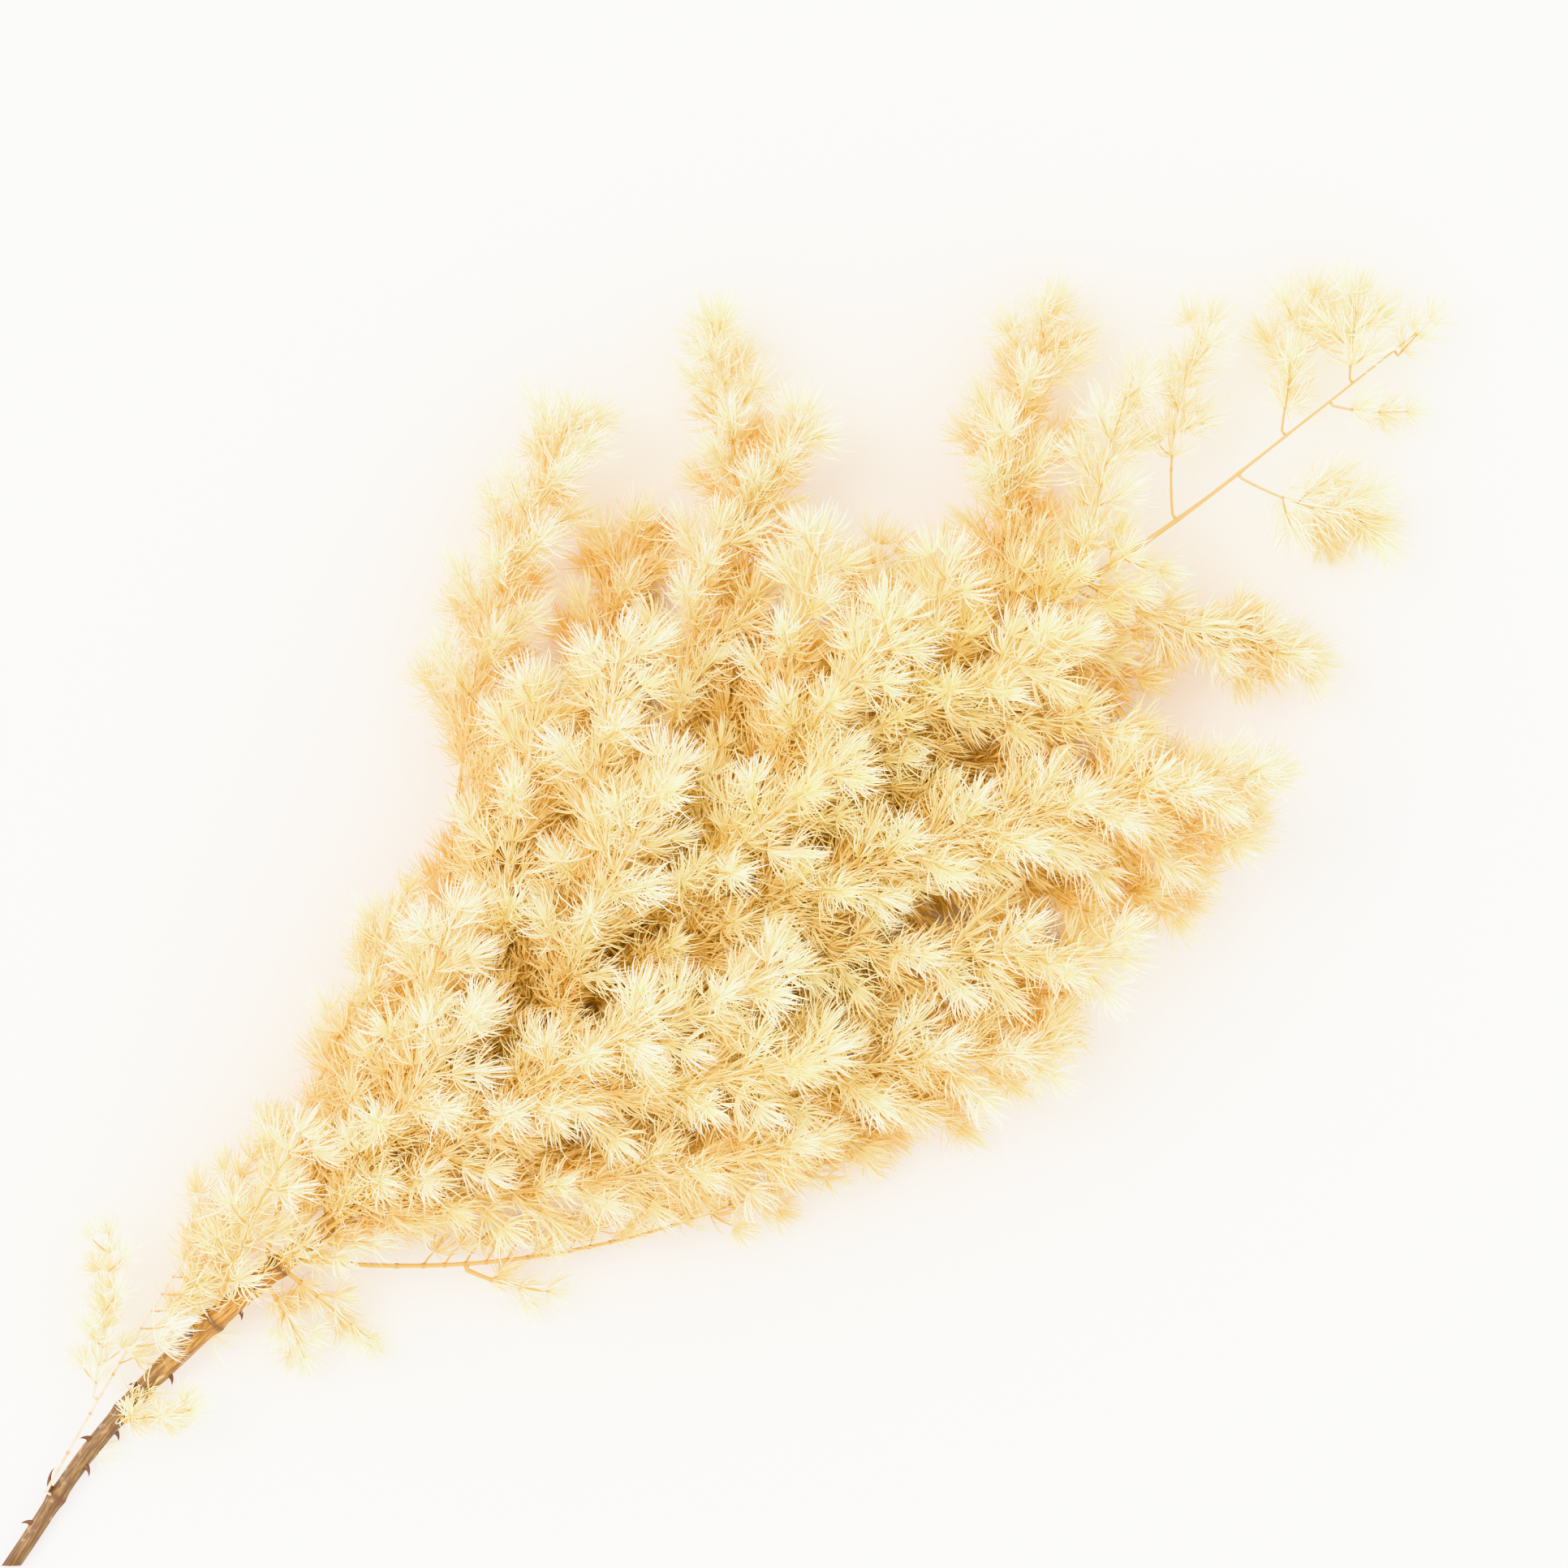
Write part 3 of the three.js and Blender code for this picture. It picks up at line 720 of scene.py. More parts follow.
def side_twigs(stem, places, turns, lengths):
    """Side twigs as short lines that curve forwards, and the ways that they lean to."""
    ways = stem.way(places)
    outward = turned(level_left(ways), ways, turns)
    roots = stem.at(places)
    lean = np.full(len(places), SIDE_TWIG_LEAN)
    bends = roots + leaning(ways, outward, lean + SIDE_TWIG_BOW) * lengths[:, None] / 2
    ends = roots + leaning(ways, outward, lean) * lengths[:, None]
    return above_floor(bent_lines(roots, bends, ends, SIDE_TWIG_POINTS), LOWEST_TWIG), outward


def needle_shade_weight(lines, shelter, canopy):
    """How much painted shade places get among the needles, from 0 to 1."""
    cover = shelter(lines)
    under = canopy(lines) * (OPEN_DEPTH + SHELTERED_DEPTH * cover)
    return np.clip(under + SHELTER_DEPTH * np.maximum(cover - SLIGHT_SHELTER, 0), 0, 1)


class Foliage:
    """Side twigs and tufts of needles that grow on one stem."""

    def __init__(self, name, seed, look):
        self.name = name
        self.needle_share = SHORT_NEEDLES.get(name.removesuffix("_leaves"), 1)
        self.gap_share = 1
        self.rng = np.random.default_rng((SEED, seed))
        self.look = look
        self.side_lines = np.zeros((0, SIDE_TWIG_POINTS, 3))
        self.side_square = np.zeros((0, 3))
        self.tufts = []

    def add_tufts(self, centres, ways, bundles, leans):
        """Adds tufts that share a span of leans. Bundles is one number, or one for each tuft."""
        counts = np.broadcast_to(bundles, len(centres))
        self.tufts.append((centres, ways, counts, np.tile(leans, (len(centres), 1))))

    def add_side_twigs(self, stem, places, turns, lengths, bundles):
        """Adds side twigs, with tufts along them and a fuller one at each end."""
        lines, square = side_twigs(stem, places, turns, lengths)
        self.side_lines = np.concatenate([self.side_lines, lines])
        self.side_square = np.concatenate([self.side_square, square])
        for line, length in zip(lines, lengths):
            steps = max(1, int(length / (self.look.tuft_gap / MM * self.gap_share) + 0.5))
            share = np.arange(1, steps + 1) / steps
            at = [np.interp(share, np.linspace(0, 1, len(line)), axis) for axis in line.T]
            centres = np.stack(at, -1)
            ways = np.tile(unit(line[-1] - line[-3]), (steps, 1))
            self.add_tufts(centres[:-1], ways[:-1], bundles, SIDE_LEANS)
            self.add_tufts(centres[-1:], ways[-1:], bundles + END_BUNDLES, END_LEANS)

    def centres(self):
        return np.concatenate([tufts[0] for tufts in self.tufts])

    def grow_needles(self):
        """Grows the needles of every tuft, and gives each its tint."""
        centres, ways, bundles, leans = (np.concatenate(part) for part in zip(*self.tufts))
        length = self.look.needle_length / MM * self.needle_share
        found = tuft_needles(centres, ways, bundles, leans, length, self.rng)
        self.needles, self.needle_square, tufts = found
        off = (centres[:, :2] - WARM_CENTRE) / WARM_REACH
        warmth = WARMTH - WARMTH_LOSS * np.clip((off**2).sum(axis=1), 0, FURTHEST_LOSS)
        tuft_tint = self.rng.normal(warmth, TUFT_TINT_SPREAD)
        own_tint = self.rng.normal(0, NEEDLE_TINT_SPREAD, len(self.needles))
        tint = self.rng.normal(0, SPRAY_TINT_SPREAD) + tuft_tint[tufts] + own_tint
        self.tint = np.clip(tint, 0, 1)

    def skin_main_twig(self, skin, shelter):
        """Adds nothing here, as only sprays have a twig of their own."""

    def skin_side_twigs(self, skin, shelter):
        lines = self.side_lines
        radii = np.tile(SIDE_TWIG_RADII, (len(lines), 1))
        tint = np.zeros(lines.shape[:2])
        node = np.tile(SIDE_TWIG_NODE, (len(lines), 1))
        square = self.side_square[:, None]
        values = {"tint": tint, "shelter": shelter(lines), "node": node}
        skin.add(lines, radii, SIDE_TWIG_SIDES, square, TWIG_SLOT, **values)

    def skin_needles(self, skin, chosen, lines, widths, depth):
        """Adds the chosen needles, with a ring for each of the widths."""
        lines = lines[chosen]
        radii = np.tile(np.array(widths) * self.look.needle_width / MM / 2, (len(lines), 1))
        tint = np.repeat(self.tint[chosen][:, None], lines.shape[1], axis=1)
        square = self.needle_square[chosen][:, None]
        # The needles' shelter value is the weight of their painted shade, from their depth among the
        # others.
        values = {"tint": tint, "shelter": depth(lines), "node": np.zeros(lines.shape[:2])}
        skin.add(lines, radii, BLADE_SIDES, square, NEEDLE_SLOT, **values)

    def build(self, materials, shelter, canopy):
        skin = StrandMesh()
        self.skin_main_twig(skin, shelter)
        self.skin_side_twigs(skin, shelter)
        depth = partial(needle_shade_weight, shelter=shelter, canopy=canopy)
        middle = self.needles[:, 2:3]
        hidden = shelter(middle)[:, 0] > HIDDEN_SHELTER
        plain = np.concatenate([self.needles[:, :1], middle, self.needles[:, -1:]], axis=1)
        self.skin_needles(skin, ~hidden, self.needles, OPEN_WIDTHS, depth)
        self.skin_needles(skin, hidden, plain, HIDDEN_WIDTHS, depth)
        return skin.build(self.name, materials)


class Spray(Foliage):
    """Everything that grows on one twig."""

    def __init__(self, index, row, look):
        name, _, _, _, _, _, reach, bare = row
        super().__init__(name + "_leaves", index, look)
        self.node_name = name
        self.stem = STEMS[name]
        self.bare = bare
        self.gap_share = FULL_GAP if name in FULL_SPRAYS else 1
        self.places = evenly_halved(bare, self.stem.length - 1, TUFT_SPACING * self.gap_share)
        self.side, self.one_sided_to = ONE_SIDED.get(name, (0, 0))
        bundles = look.bundles + EXTRA_BUNDLES.get(name.split("_")[0], 0)
        tufted = self.places[self.places > self.one_sided_to]
        centres, ways = self.stem.at(tufted), self.stem.way(tufted)
        self.add_tufts(centres[:-1], ways[:-1], bundles, MAIN_LEANS)
        self.add_tufts(centres[-1:], ways[-1:], bundles + END_BUNDLES, END_LEANS)
        if reach:
            self.grow_side_twigs(index, reach, bundles)

    def grow_side_twigs(self, index, reach, bundles):
        """Grows a side twig at every place but the last, to one side of the twig and then the other."""
        places = self.places[:-1]
        steps = np.arange(len(places))
        turns = GOLDEN_ANGLE * index + TUFT_TWIST / 2 * steps + SPRAY_TWIST * (index % 3) + FIRST_TWIST
        turns = turns + 180 * (steps % 2) + self.rng.normal(0, TWIST_SPREAD, len(steps))
        swung = self.side + ONE_SIDED_SWING * np.sin(turns)
        turns = np.where(places < self.one_sided_to, swung, turns)
        lengths = reach * fullness(steps / len(places)) * self.rng.uniform(*SIDE_TWIG_LENGTHS, len(steps))
        self.add_side_twigs(self.stem, places, turns, lengths, bundles)

    def skin_main_twig(self, skin, shelter):
        """Adds the twig, with a swelling at each node."""
        length = self.stem.length
        bare_nodes = np.arange(BARE_NODE_SPACING, self.bare - BARE_NODE_MARGIN, BARE_NODE_SPACING)
        nodes = np.concatenate([bare_nodes, self.places])
        steps = np.arange(0, length, TWIG_STEP)
        beside = [nodes - NODE_HALF_LENGTH, nodes, nodes + NODE_HALF_LENGTH]
        places = np.unique(np.clip(np.concatenate([steps, *beside]), 0, length).round(2))
        from_node = np.abs(np.subtract.outer(places, nodes)).min(axis=1)
        node = np.clip(1 - from_node / NODE_HALF_LENGTH, 0, 1)
        share, bleached = THIN_TWIGS.get(self.node_name, (1, 0))
        radii = (self.stem.radius_at(places) * TWIG_SHARE * share * (1 + NODE_SWELL * node))[:-1]
        radii = np.concatenate([[COLLAR_SWELL * radii[0]], radii])
        collar = self.stem.root + (self.stem.at(0) - self.stem.root) * COLLAR_PLACE
        line = np.concatenate([[self.stem.root, collar], self.stem.at(places)])[None]
        node = np.concatenate([[0, COLLAR_NODE], node])[None]
        values = {"tint": np.full(node.shape, float(bleached)), "shelter": shelter(line), "node": node}
        square = level_left(unit(line[0, -1] - line[0, 0]))
        skin.add(line, radii[None], TWIG_SIDES, square, TWIG_SLOT, **values)


class CaneLeaves(Foliage):
    """Short side twigs that grow on the cane between the sprays, and a few tufts low down on it."""

    def __init__(self, look):
        super().__init__("cane_leaves", len(SPRAYS), look)
        places = np.arange(*CANE_LEAVES_SPAN)
        swing = np.sin(np.radians(GOLDEN_ANGLE * np.arange(len(places))))
        turns = 90 + CANE_LEAVES_TURN * swing
        self.grow_row(places, turns, CANE_LEAVES_LENGTH, look.bundles)
        places = np.arange(*LOW_LEAVES_SPAN)
        drop = self.rng.uniform(0, 2 * LOW_LEAVES_DROP, len(places))
        turns = np.where(np.arange(len(places)) % 2, 180 + drop, -drop)
        self.grow_row(places, turns, LOW_LEAVES_LENGTH, look.bundles + LOW_LEAVES_BUNDLES)
        self.grow_cane_tufts()

    def grow_row(self, places, turns, table, bundles):
        """Grows side twigs whose lengths come from a table of distances and lengths."""
        share = self.rng.uniform(*CANE_TWIG_LENGTHS, len(places))
        self.add_side_twigs(CANE_LINE, places, turns, np.interp(places, *table) * share, bundles)

    def grow_cane_tufts(self):
        """Seats the small tufts on the bark."""
        at, turn, bundles = np.array(CANE_TUFTS, float).T
        ways = CANE_LINE.way(at)
        outward = turned(level_left(ways), ways, turn)
        centres = CANE_LINE.at(at) + outward * shown_radius(at)[:, None]
        ways = leaning(ways, outward, np.full(len(at), CANE_TUFT_LEAN))
        self.add_tufts(centres, ways, bundles.astype(int), END_LEANS)


def blurred(counts):
    """Cells averaged with their neighbours along each axis."""
    for axis in range(counts.ndim):
        counts = (np.roll(counts, 1, axis) + counts + np.roll(counts, -1, axis)) / 3
    return counts


class Shelter:
    """How much of the sky the foliage hides from a place, from 0 to 1.

    Tufts are counted in cells, straight above and along eight ways that lean outwards.
    """

    CELL = 5.0
    MARGIN = 15.0
    LEANS = tuple((x, y) for x in (-1, 0, 1) for y in (-1, 0, 1))
    HALF_HIDDEN_PERCENTILE = 55

    # Keeps the blend of eight cells inside the last one
    JUST_INSIDE = 1.001

    def __init__(self, tufts):
        self.low = tufts.min(axis=0) - self.MARGIN
        cells = np.ceil((tufts.max(axis=0) + self.MARGIN - self.low) / self.CELL).astype(int)
        counts = np.zeros(cells)
        np.add.at(counts, tuple(self.cells(tufts).T), 1)
        counts = blurred(blurred(counts))
        piles = np.array([self.piled(counts, *lean) for lean in self.LEANS])
        at_tufts = piles[:, *self.cells(tufts).T]
        scale = np.percentile(at_tufts, self.HALF_HIDDEN_PERCENTILE)
        self.cover = 1 - np.exp(-piles / scale).mean(axis=0)

    def cells(self, points):
        return ((points - self.low) / self.CELL).astype(int)

    @staticmethod
    def piled(counts, lean_x, lean_y):
        """What lies above each cell, along a way that leans."""
        pile = np.zeros_like(counts)
        for layer in range(counts.shape[2] - 2, -1, -1):
            above = pile[:, :, layer + 1] + counts[:, :, layer + 1]
            pile[:, :, layer] = np.roll(above, (-lean_x, -lean_y), (0, 1))
        return pile

    def __call__(self, points):
        """The cover at some points, blended from the eight cells round each."""
        place = (points - self.low) / self.CELL - 0.5
        highest = np.array(self.cover.shape) - self.JUST_INSIDE
        place = np.clip(place, 0, highest)
        cell = place.astype(int)
        part = place - cell
        total = 0
        for corner in np.ndindex(2, 2, 2):
            weight = np.prod(np.where(corner, part, 1 - part), axis=-1)
            total = total + weight * self.cover[tuple(np.moveaxis(cell + corner, -1, 0))]
        return total


class Canopy:
    """How far a place lies under the highest needles round it, as a share of a full depth."""

    CELL = 3.0
    MARGIN = 18.0
    FULL_DEPTH = 15.0

    def __init__(self, points):
        self.low = points[:, :2].min(axis=0) - self.MARGIN
        span = points[:, :2].max(axis=0) + self.MARGIN - self.low
        height = np.zeros(np.ceil(span / self.CELL).astype(int))
        np.maximum.at(height, tuple(self.cells(points).T), points[:, 2])
        for axis in (0, 1):
            height = np.maximum.reduce([np.roll(height, step, axis) for step in (-1, 0, 1)])
        self.height = blurred(blurred(height))

    def cells(self, points):
        return ((points[..., :2] - self.low) / self.CELL).astype(int)

    def __call__(self, points):
        cell = np.clip(self.cells(points), 0, np.array(self.height.shape) - 1)
        top = self.height[cell[..., 0], cell[..., 1]]
        return np.clip((top - points[..., 2]) / self.FULL_DEPTH, 0, 1)


# Materials
class Shade:
    """A shader socket. Sums on it add Math nodes, and mixes add Mix nodes."""

    def __init__(self, tree, socket=None):
        self.tree = tree
        self.socket = socket

    def node(self, kind, settings=None, values=None, output=0):
        """Adds a node: its settings come first, then the values or links of its sockets."""
        made = self.tree.nodes.new(kind)
        for name, value in (settings or {}).items():
            setattr(made, name, value)
        for name, value in (values or {}).items():
            if isinstance(value, Shade):
                self.tree.links.new(value.socket, made.inputs[name])
            else:
                made.inputs[name].default_value = value
        return Shade(self.tree, made.outputs[output] if made.outputs else None)

    def attribute(self, name, output="Fac"):
        return self.node("ShaderNodeAttribute", {"attribute_name": name}, output=output)

    def maths(self, operation, first, second):
        return self.node("ShaderNodeMath", {"operation": operation}, {0: first, 1: second})

    def mix(self, low, high):
        """A colour that goes from low to high as this number goes from 0 to 1."""
        low, high = (end if isinstance(end, Shade) else opaque(end) for end in (low, high))
        settings = {"data_type": "RGBA", "clamp_factor": True}
        return self.node("ShaderNodeMix", settings, {0: self, 6: low, 7: high}, output=2)

    def between(self, low, high):
        """This number, moved smoothly from a span to that from 0 to 1, and held inside it."""
        values = {"Value": self, "From Min": low, "From Max": high}
        return self.node("ShaderNodeMapRange", {"interpolation_type": "SMOOTHSTEP"}, values)

    def __add__(self, other):
        return self.maths("ADD", self, other)

    __radd__ = __add__

    def __sub__(self, other):
        return self.maths("SUBTRACT", self, other)

    def __rsub__(self, other):
        return self.maths("SUBTRACT", other, self)

    def __mul__(self, other):
        return self.maths("MULTIPLY", self, other)

    __rmul__ = __mul__


def opaque(colour):
    return (*colour, 1.0)


def new_material(name):
    """A new material, as the shade of its empty node tree."""
    material = bpy.data.materials.new(name)
    material.use_nodes = True
    material.node_tree.nodes.clear()
    return material, Shade(material.node_tree)


def finish_material(shade, values):
    surface = shade.node("ShaderNodeBsdfPrincipled", None, values)
    shade.node("ShaderNodeOutputMaterial", None, {"Surface": surface})


def object_place(shade):
    return shade.node("ShaderNodeTexCoord", output="Object")


def noise(place, scale, detail):
    """Noise with this many waves to the unit that the place is given in."""
    return place.node("ShaderNodeTexNoise", None, {"Vector": place, "Scale": scale, "Detail": detail})


def bump(height, strength, distance):
    """A normal that rises and falls with the height, by the distance in metres."""
    values = {"Strength": strength, "Distance": distance, "Height": height}
    return height.node("ShaderNodeBump", None, values)


def needle_material(look):
    """Golden at root, cream at tip, bleached or warm by place, with painted shade among deep needles."""
    material, shade = new_material("dried_needle")
    along = shade.attribute("along")
    tint = shade.attribute("tint")
    shelter = shade.attribute("shelter")
    place = object_place(shade)
    patch = noise(place, 14.0, 2.0)
    fleck = noise(place, 420.0, 2.0)
    colour = along.between(0.05, 0.7).mix(look.needle_root, look.needle_tip)
    colour = (tint.between(0.4, 1.0) * 0.8).mix(colour, look.needle_warm)
    colour = (tint.between(0.42, 0.12) * 0.85).mix(colour, look.needle_bleached)
    colour = (patch.between(0.5, 0.7) * 0.45).mix(colour, look.needle_pale)
    # Painted shade: needles deep among others, less so towards their tips, are painted golden, and the
    # innermost ones dark orange.
    deep = shelter.between(0.15, 0.8) * (1 - along * 0.25)
    colour = (deep * 0.9).mix(colour, look.needle_shaded)
    colour = (shelter.between(0.55, 1.0) * 0.8).mix(colour, look.needle_darkest_shade)
    values = {"Base Color": colour, "Roughness": 0.5 + fleck * 0.3, "Specular IOR Level": 0.3}
    finish_material(shade, values)
    return material


def twig_material(look):
    """Golden, paler to the tip or where it is bleached, with grain and darker nodes."""
    material, shade = new_material("golden_twig")
    along = shade.attribute("along")
    node = shade.attribute("node")
    grain = noise(object_place(shade), 260.0, 3.0)
    colour = along.between(0.0, 1.0).mix(look.twig_root, look.twig_tip)
    colour = (shade.attribute("tint") * 0.7).mix(colour, look.needle_pale)
    colour = (grain.between(0.45, 0.65) * 0.4).mix(colour, look.twig_root)
    colour = (node.between(0.2, 0.9) * 0.8).mix(colour, look.node_colour)
    values = {"Base Color": colour, "Roughness": 0.4 + grain * 0.3, "Normal": bump(grain, 0.4, 0.0002)}
    finish_material(shade, values)
    return material


def bark_material(look):
    """Brown near the cut and golden further up, streaked along the grain, scuffed and knotted."""
    material, shade = new_material("cane_bark")
    along = shade.attribute("along")
    knot = shade.attribute("knot")
    grain_place = shade.attribute("grain_place", output="Vector")
    streak = noise(grain_place, 5.0, 4.0)
    fine = noise(grain_place, 17.0, 3.0)
    blotch = noise(object_place(shade), 210.0, 4.0)
    golden = along.between(0.09, 0.19)
    young = along.between(0.2, 0.32) * 0.6 + along.between(0.8, 0.9) * 0.2
    colour = golden.mix(look.bark_low, look.bark_high)
    light = golden.mix(look.bark_low_light, look.bark_high_light)
    colour = streak.between(0.42, 0.64).mix(colour, light)
    colour = young.mix(colour, look.bark_tip)
    colour = (fine.between(0.5, 0.68) * (0.65 - young * 0.7)).mix(colour, look.bark_dark)
    colour = (blotch.between(0.58, 0.7) * (1 - golden) * 0.55).mix(colour, look.bark_scuff)
    colour = (knot.between(0.15, 0.9) * (0.75 - young * 0.7)).mix(colour, look.bark_knot)
    roughness = 0.42 + streak * 0.25 + knot * 0.15
    normal = bump(streak * 0.6 + fine * 0.4, 0.7, 0.0005)
    finish_material(shade, {"Base Color": colour, "Roughness": roughness, "Normal": normal})
    return material


def cut_material(look):
    """Pale pith, browner wood with open cells, and a dark rim."""
    material, shade = new_material("cut_wood")
    rim = shade.attribute("rim")
    values = {"Vector": object_place(shade), "Scale": 1700.0}
    cells = shade.node("ShaderNodeTexVoronoi", None, values, output="Distance")
    colour = rim.between(0.1, 0.85).mix(look.pith, look.cut)
    colour = (cells.between(0.55, 0.2) * 0.6).mix(colour, look.bark_knot)
    colour = rim.between(0.86, 0.97).mix(colour, look.bark_dark)
    normal = bump(cells, 0.6, 0.0003)
    finish_material(shade, {"Base Color": colour, "Roughness": 0.75 + rim * 0.1, "Normal": normal})
    return material


def thorn_material(look):
    """Bark at the foot and dark at the tip."""
    material, shade = new_material("thorn")
    grain = noise(object_place(shade), 500.0, 3.0)
    colour = shade.attribute("along").between(0.1, 0.6).mix(look.bark_low, look.thorn)
    colour = (grain.between(0.45, 0.7) * 0.5).mix(colour, look.bark_dark)
    values = {"Base Color": colour, "Roughness": 0.35 + grain * 0.3, "Normal": bump(grain, 0.4, 0.0002)}
    finish_material(shade, values)
    return material


# The cane's mesh: points in a ring, fine rings on its lower part, and wider ones beyond
CANE_SIDES = 24
FINE_RINGS = (7.0, 210, 1.2)
FAR_RINGS_FROM = 211.5
FAR_RINGS = 150
CUT_RINGS = 5
BARK_SLOT = 0
CUT_SLOT = 1


def ring_turns():
    """The angles of the points in a ring."""
    return 2 * np.pi * np.arange(CANE_SIDES) / CANE_SIDES


def cut_plane():
    """A point on the slanting cut and the direction square to it."""
    way = CANE_LINE.way(0)
    turn = atan2(way[1], way[0]) + radians(CUT_SLANT)
    return CANE_LINE.at(0) - way * CUT_OVERHANG, np.array([cos(turn), sin(turn), 0.0])


def cane_rings():
    """The cane's skin: places along it, a ring of points round it at each, and how knotted each is."""
    far = np.linspace(FAR_RINGS_FROM, CANE_LINE.length, FAR_RINGS)
    places = np.concatenate([np.arange(*FINE_RINGS), far])
    turn = ring_turns()
    ways = CANE_LINE.way(places)
    left = level_left(ways)
    up = np.cross(ways, left)
    from_knot = places[:, None] - np.array(KNOTS + UPPER_NODES)
    swell = np.exp(-((from_knot / SWELL_WIDTH) ** 2)).sum(axis=1)
    scar = np.exp(-(((from_knot - SCAR_PLACE) / SCAR_WIDTH) ** 2)).sum(axis=1)
    radius = shown_radius(places) * (1 + (KNOT_SWELL - 1) * swell + SCAR_HEIGHT * scar)
    ridges = sum(high * np.cos(count * turn + places[:, None] / twist) for high, count, twist in RIDGES)
    radii = radius[:, None] * (1 + ridges)
    out = left[:, None] * np.cos(turn)[:, None] + up[:, None] * np.sin(turn)[:, None]
    rings = CANE_LINE.at(places)[:, None] + out * radii[..., None]
    knots = np.clip(swell * SWELL_SHADE + scar, 0, 1) * np.interp(places, *KNOT_FADE)
    return places, rings, knots


def cut_ring(ring):
    """A ring slid back along the cane onto the slanting cut."""
    point, square = cut_plane()
    way = CANE_LINE.way(0)
    back = (ring - point) @ square / (way @ square)
    return ring - way * back[:, None]


def make_cane_mesh(materials):
    """The cane from the middle of its cut to its tip, as rings of points."""
    places, rings, knots = cane_rings()
    edge = cut_ring(rings[0])
    middle = edge.mean(axis=0)
    shares = np.linspace(0, 1, CUT_RINGS + 1)[1:-1]
    inner = [middle + (edge - middle) * share for share in shares]
    points = np.concatenate([[middle], *inner, edge, *rings, [CANE_LINE.at(CANE_LINE.length)]])
    ring_count = len(inner) + 1 + len(rings)
    counts, corners, _ = strand_faces(ring_count, CANE_SIDES)
    # The faces of each side come in order from the middle of the cut to the tip.
    on_cut = np.arange(len(counts)) % (ring_count + 1) <= len(inner)
    slots = np.where(on_cut, CUT_SLOT, BARK_SLOT)
    mesh = make_mesh("cane_wood", points, counts, corners, slots, ~on_cut, materials)
    add_cane_values(mesh, places, knots, len(inner))
    mesh.update(calc_edges=True)
    return mesh


def add_cane_values(mesh, places, knots, inner_rings):
    """What the bark and cut materials read: share along, knots, share of the way to the rim, grain."""
    on_cut = np.zeros(inner_rings + 1)
    share = np.concatenate([on_cut, places / CANE_LINE.length])
    inner = np.arange(1, inner_rings + 1) / (inner_rings + 1)
    values = {
        "along": (share, 1),
        "knot": (np.concatenate([on_cut, knots]), 0),
        "rim": (np.concatenate([inner, np.ones(len(places) + 1)]), 1),
    }
    for name, (rings, at_tip) in values.items():
        add_values(mesh, name, np.concatenate([[0], np.repeat(rings, CANE_SIDES), [at_tip]]))
    turn = ring_turns()
    distance = share * CANE_LINE.length
    grain = np.broadcast_arrays(np.cos(turn), np.sin(turn), distance[:, None] / GRAIN_STRETCH)
    grain = np.stack(grain, axis=-1).reshape(-1, 3)
    tip = (0, 0, CANE_LINE.length / GRAIN_STRETCH)
    add_values(mesh, "grain_place", np.concatenate([[(0, 0, 0)], grain, [tip]]))


def make_thorns(material):
    """Thorns that hook back towards the cut end, and a bract that curls forwards."""
    at, turn = np.array([*THORNS, BRACT], float).T
    bract = np.arange(len(at)) == len(THORNS)
    length = np.where(bract, BRACT_LENGTH, THORN_LENGTH)[:, None]
    bend_lean, tip_lean = (np.where(bract, *leans) for leans in zip(BRACT_LEANS, THORN_LEANS))
    ways = CANE_LINE.way(at)
    outward = turned(level_left(ways), ways, turn)
    roots = CANE_LINE.at(at) + outward * shown_radius(at)[:, None] / 2
    bends = roots + leaning(ways, outward, bend_lean) * length * THORN_BEND_PLACE
    tips = roots + leaning(ways, outward, tip_lean) * length
    lines = bent_lines(roots, bends, tips, len(THORN_TAPER) + 2)
    radii = np.tile(THORN_RADIUS * np.array(THORN_TAPER), (len(lines), 1))
    none = np.zeros(lines.shape[:2])
    thorns = StrandMesh()
    thorns.add(lines, radii, THORN_SIDES, level_left(ways)[:, None], 0, tint=none, shelter=none, node=none)
    return thorns.build("thorns", [material])


# Settings
def colour_setting(name, description, default):
    return FloatVectorProperty(name=name, description=description, subtype="COLOR", default=default)


def length_setting(name, description, default):
    return FloatProperty(name=name, description=description, unit="LENGTH", default=default)


class CaneSettings(bpy.types.PropertyGroup):
    """The colours of the cane, its cut end and its thorns."""

    bark_low: colour_setting("Lower bark", "Bark near the cut end", (0.125, 0.061, 0.021))
    bark_low_light: colour_setting("Lower streaks", "Light streaks near the cut end", (0.26, 0.145, 0.05))
    bark_high: colour_setting("Upper bark", "Bark among the sprays", (0.34, 0.145, 0.022))
    bark_high_light: colour_setting("Upper streaks", "Light streaks among the sprays", (0.6, 0.32, 0.062))
    bark_tip: colour_setting("Tip bark", "Bark of the thin bare end", (0.85, 0.6, 0.22))
    bark_dark: colour_setting("Dark grain", "Fine dark lines along the bark", (0.07, 0.032, 0.015))
    bark_scuff: colour_setting("Scuffs", "Pale places where the bark is rubbed", (0.42, 0.28, 0.16))
    bark_knot: colour_setting("Knots", "The rings where thorns and twigs leave", (0.12, 0.048, 0.02))
    thorn: colour_setting("Thorns", "The tips of the thorns", (0.13, 0.04, 0.016))
    pith: colour_setting("Pith", "The middle of the cut end", (0.4, 0.2, 0.05))
    cut: colour_setting("Cut wood", "The wood of the cut end", (0.26, 0.115, 0.022))


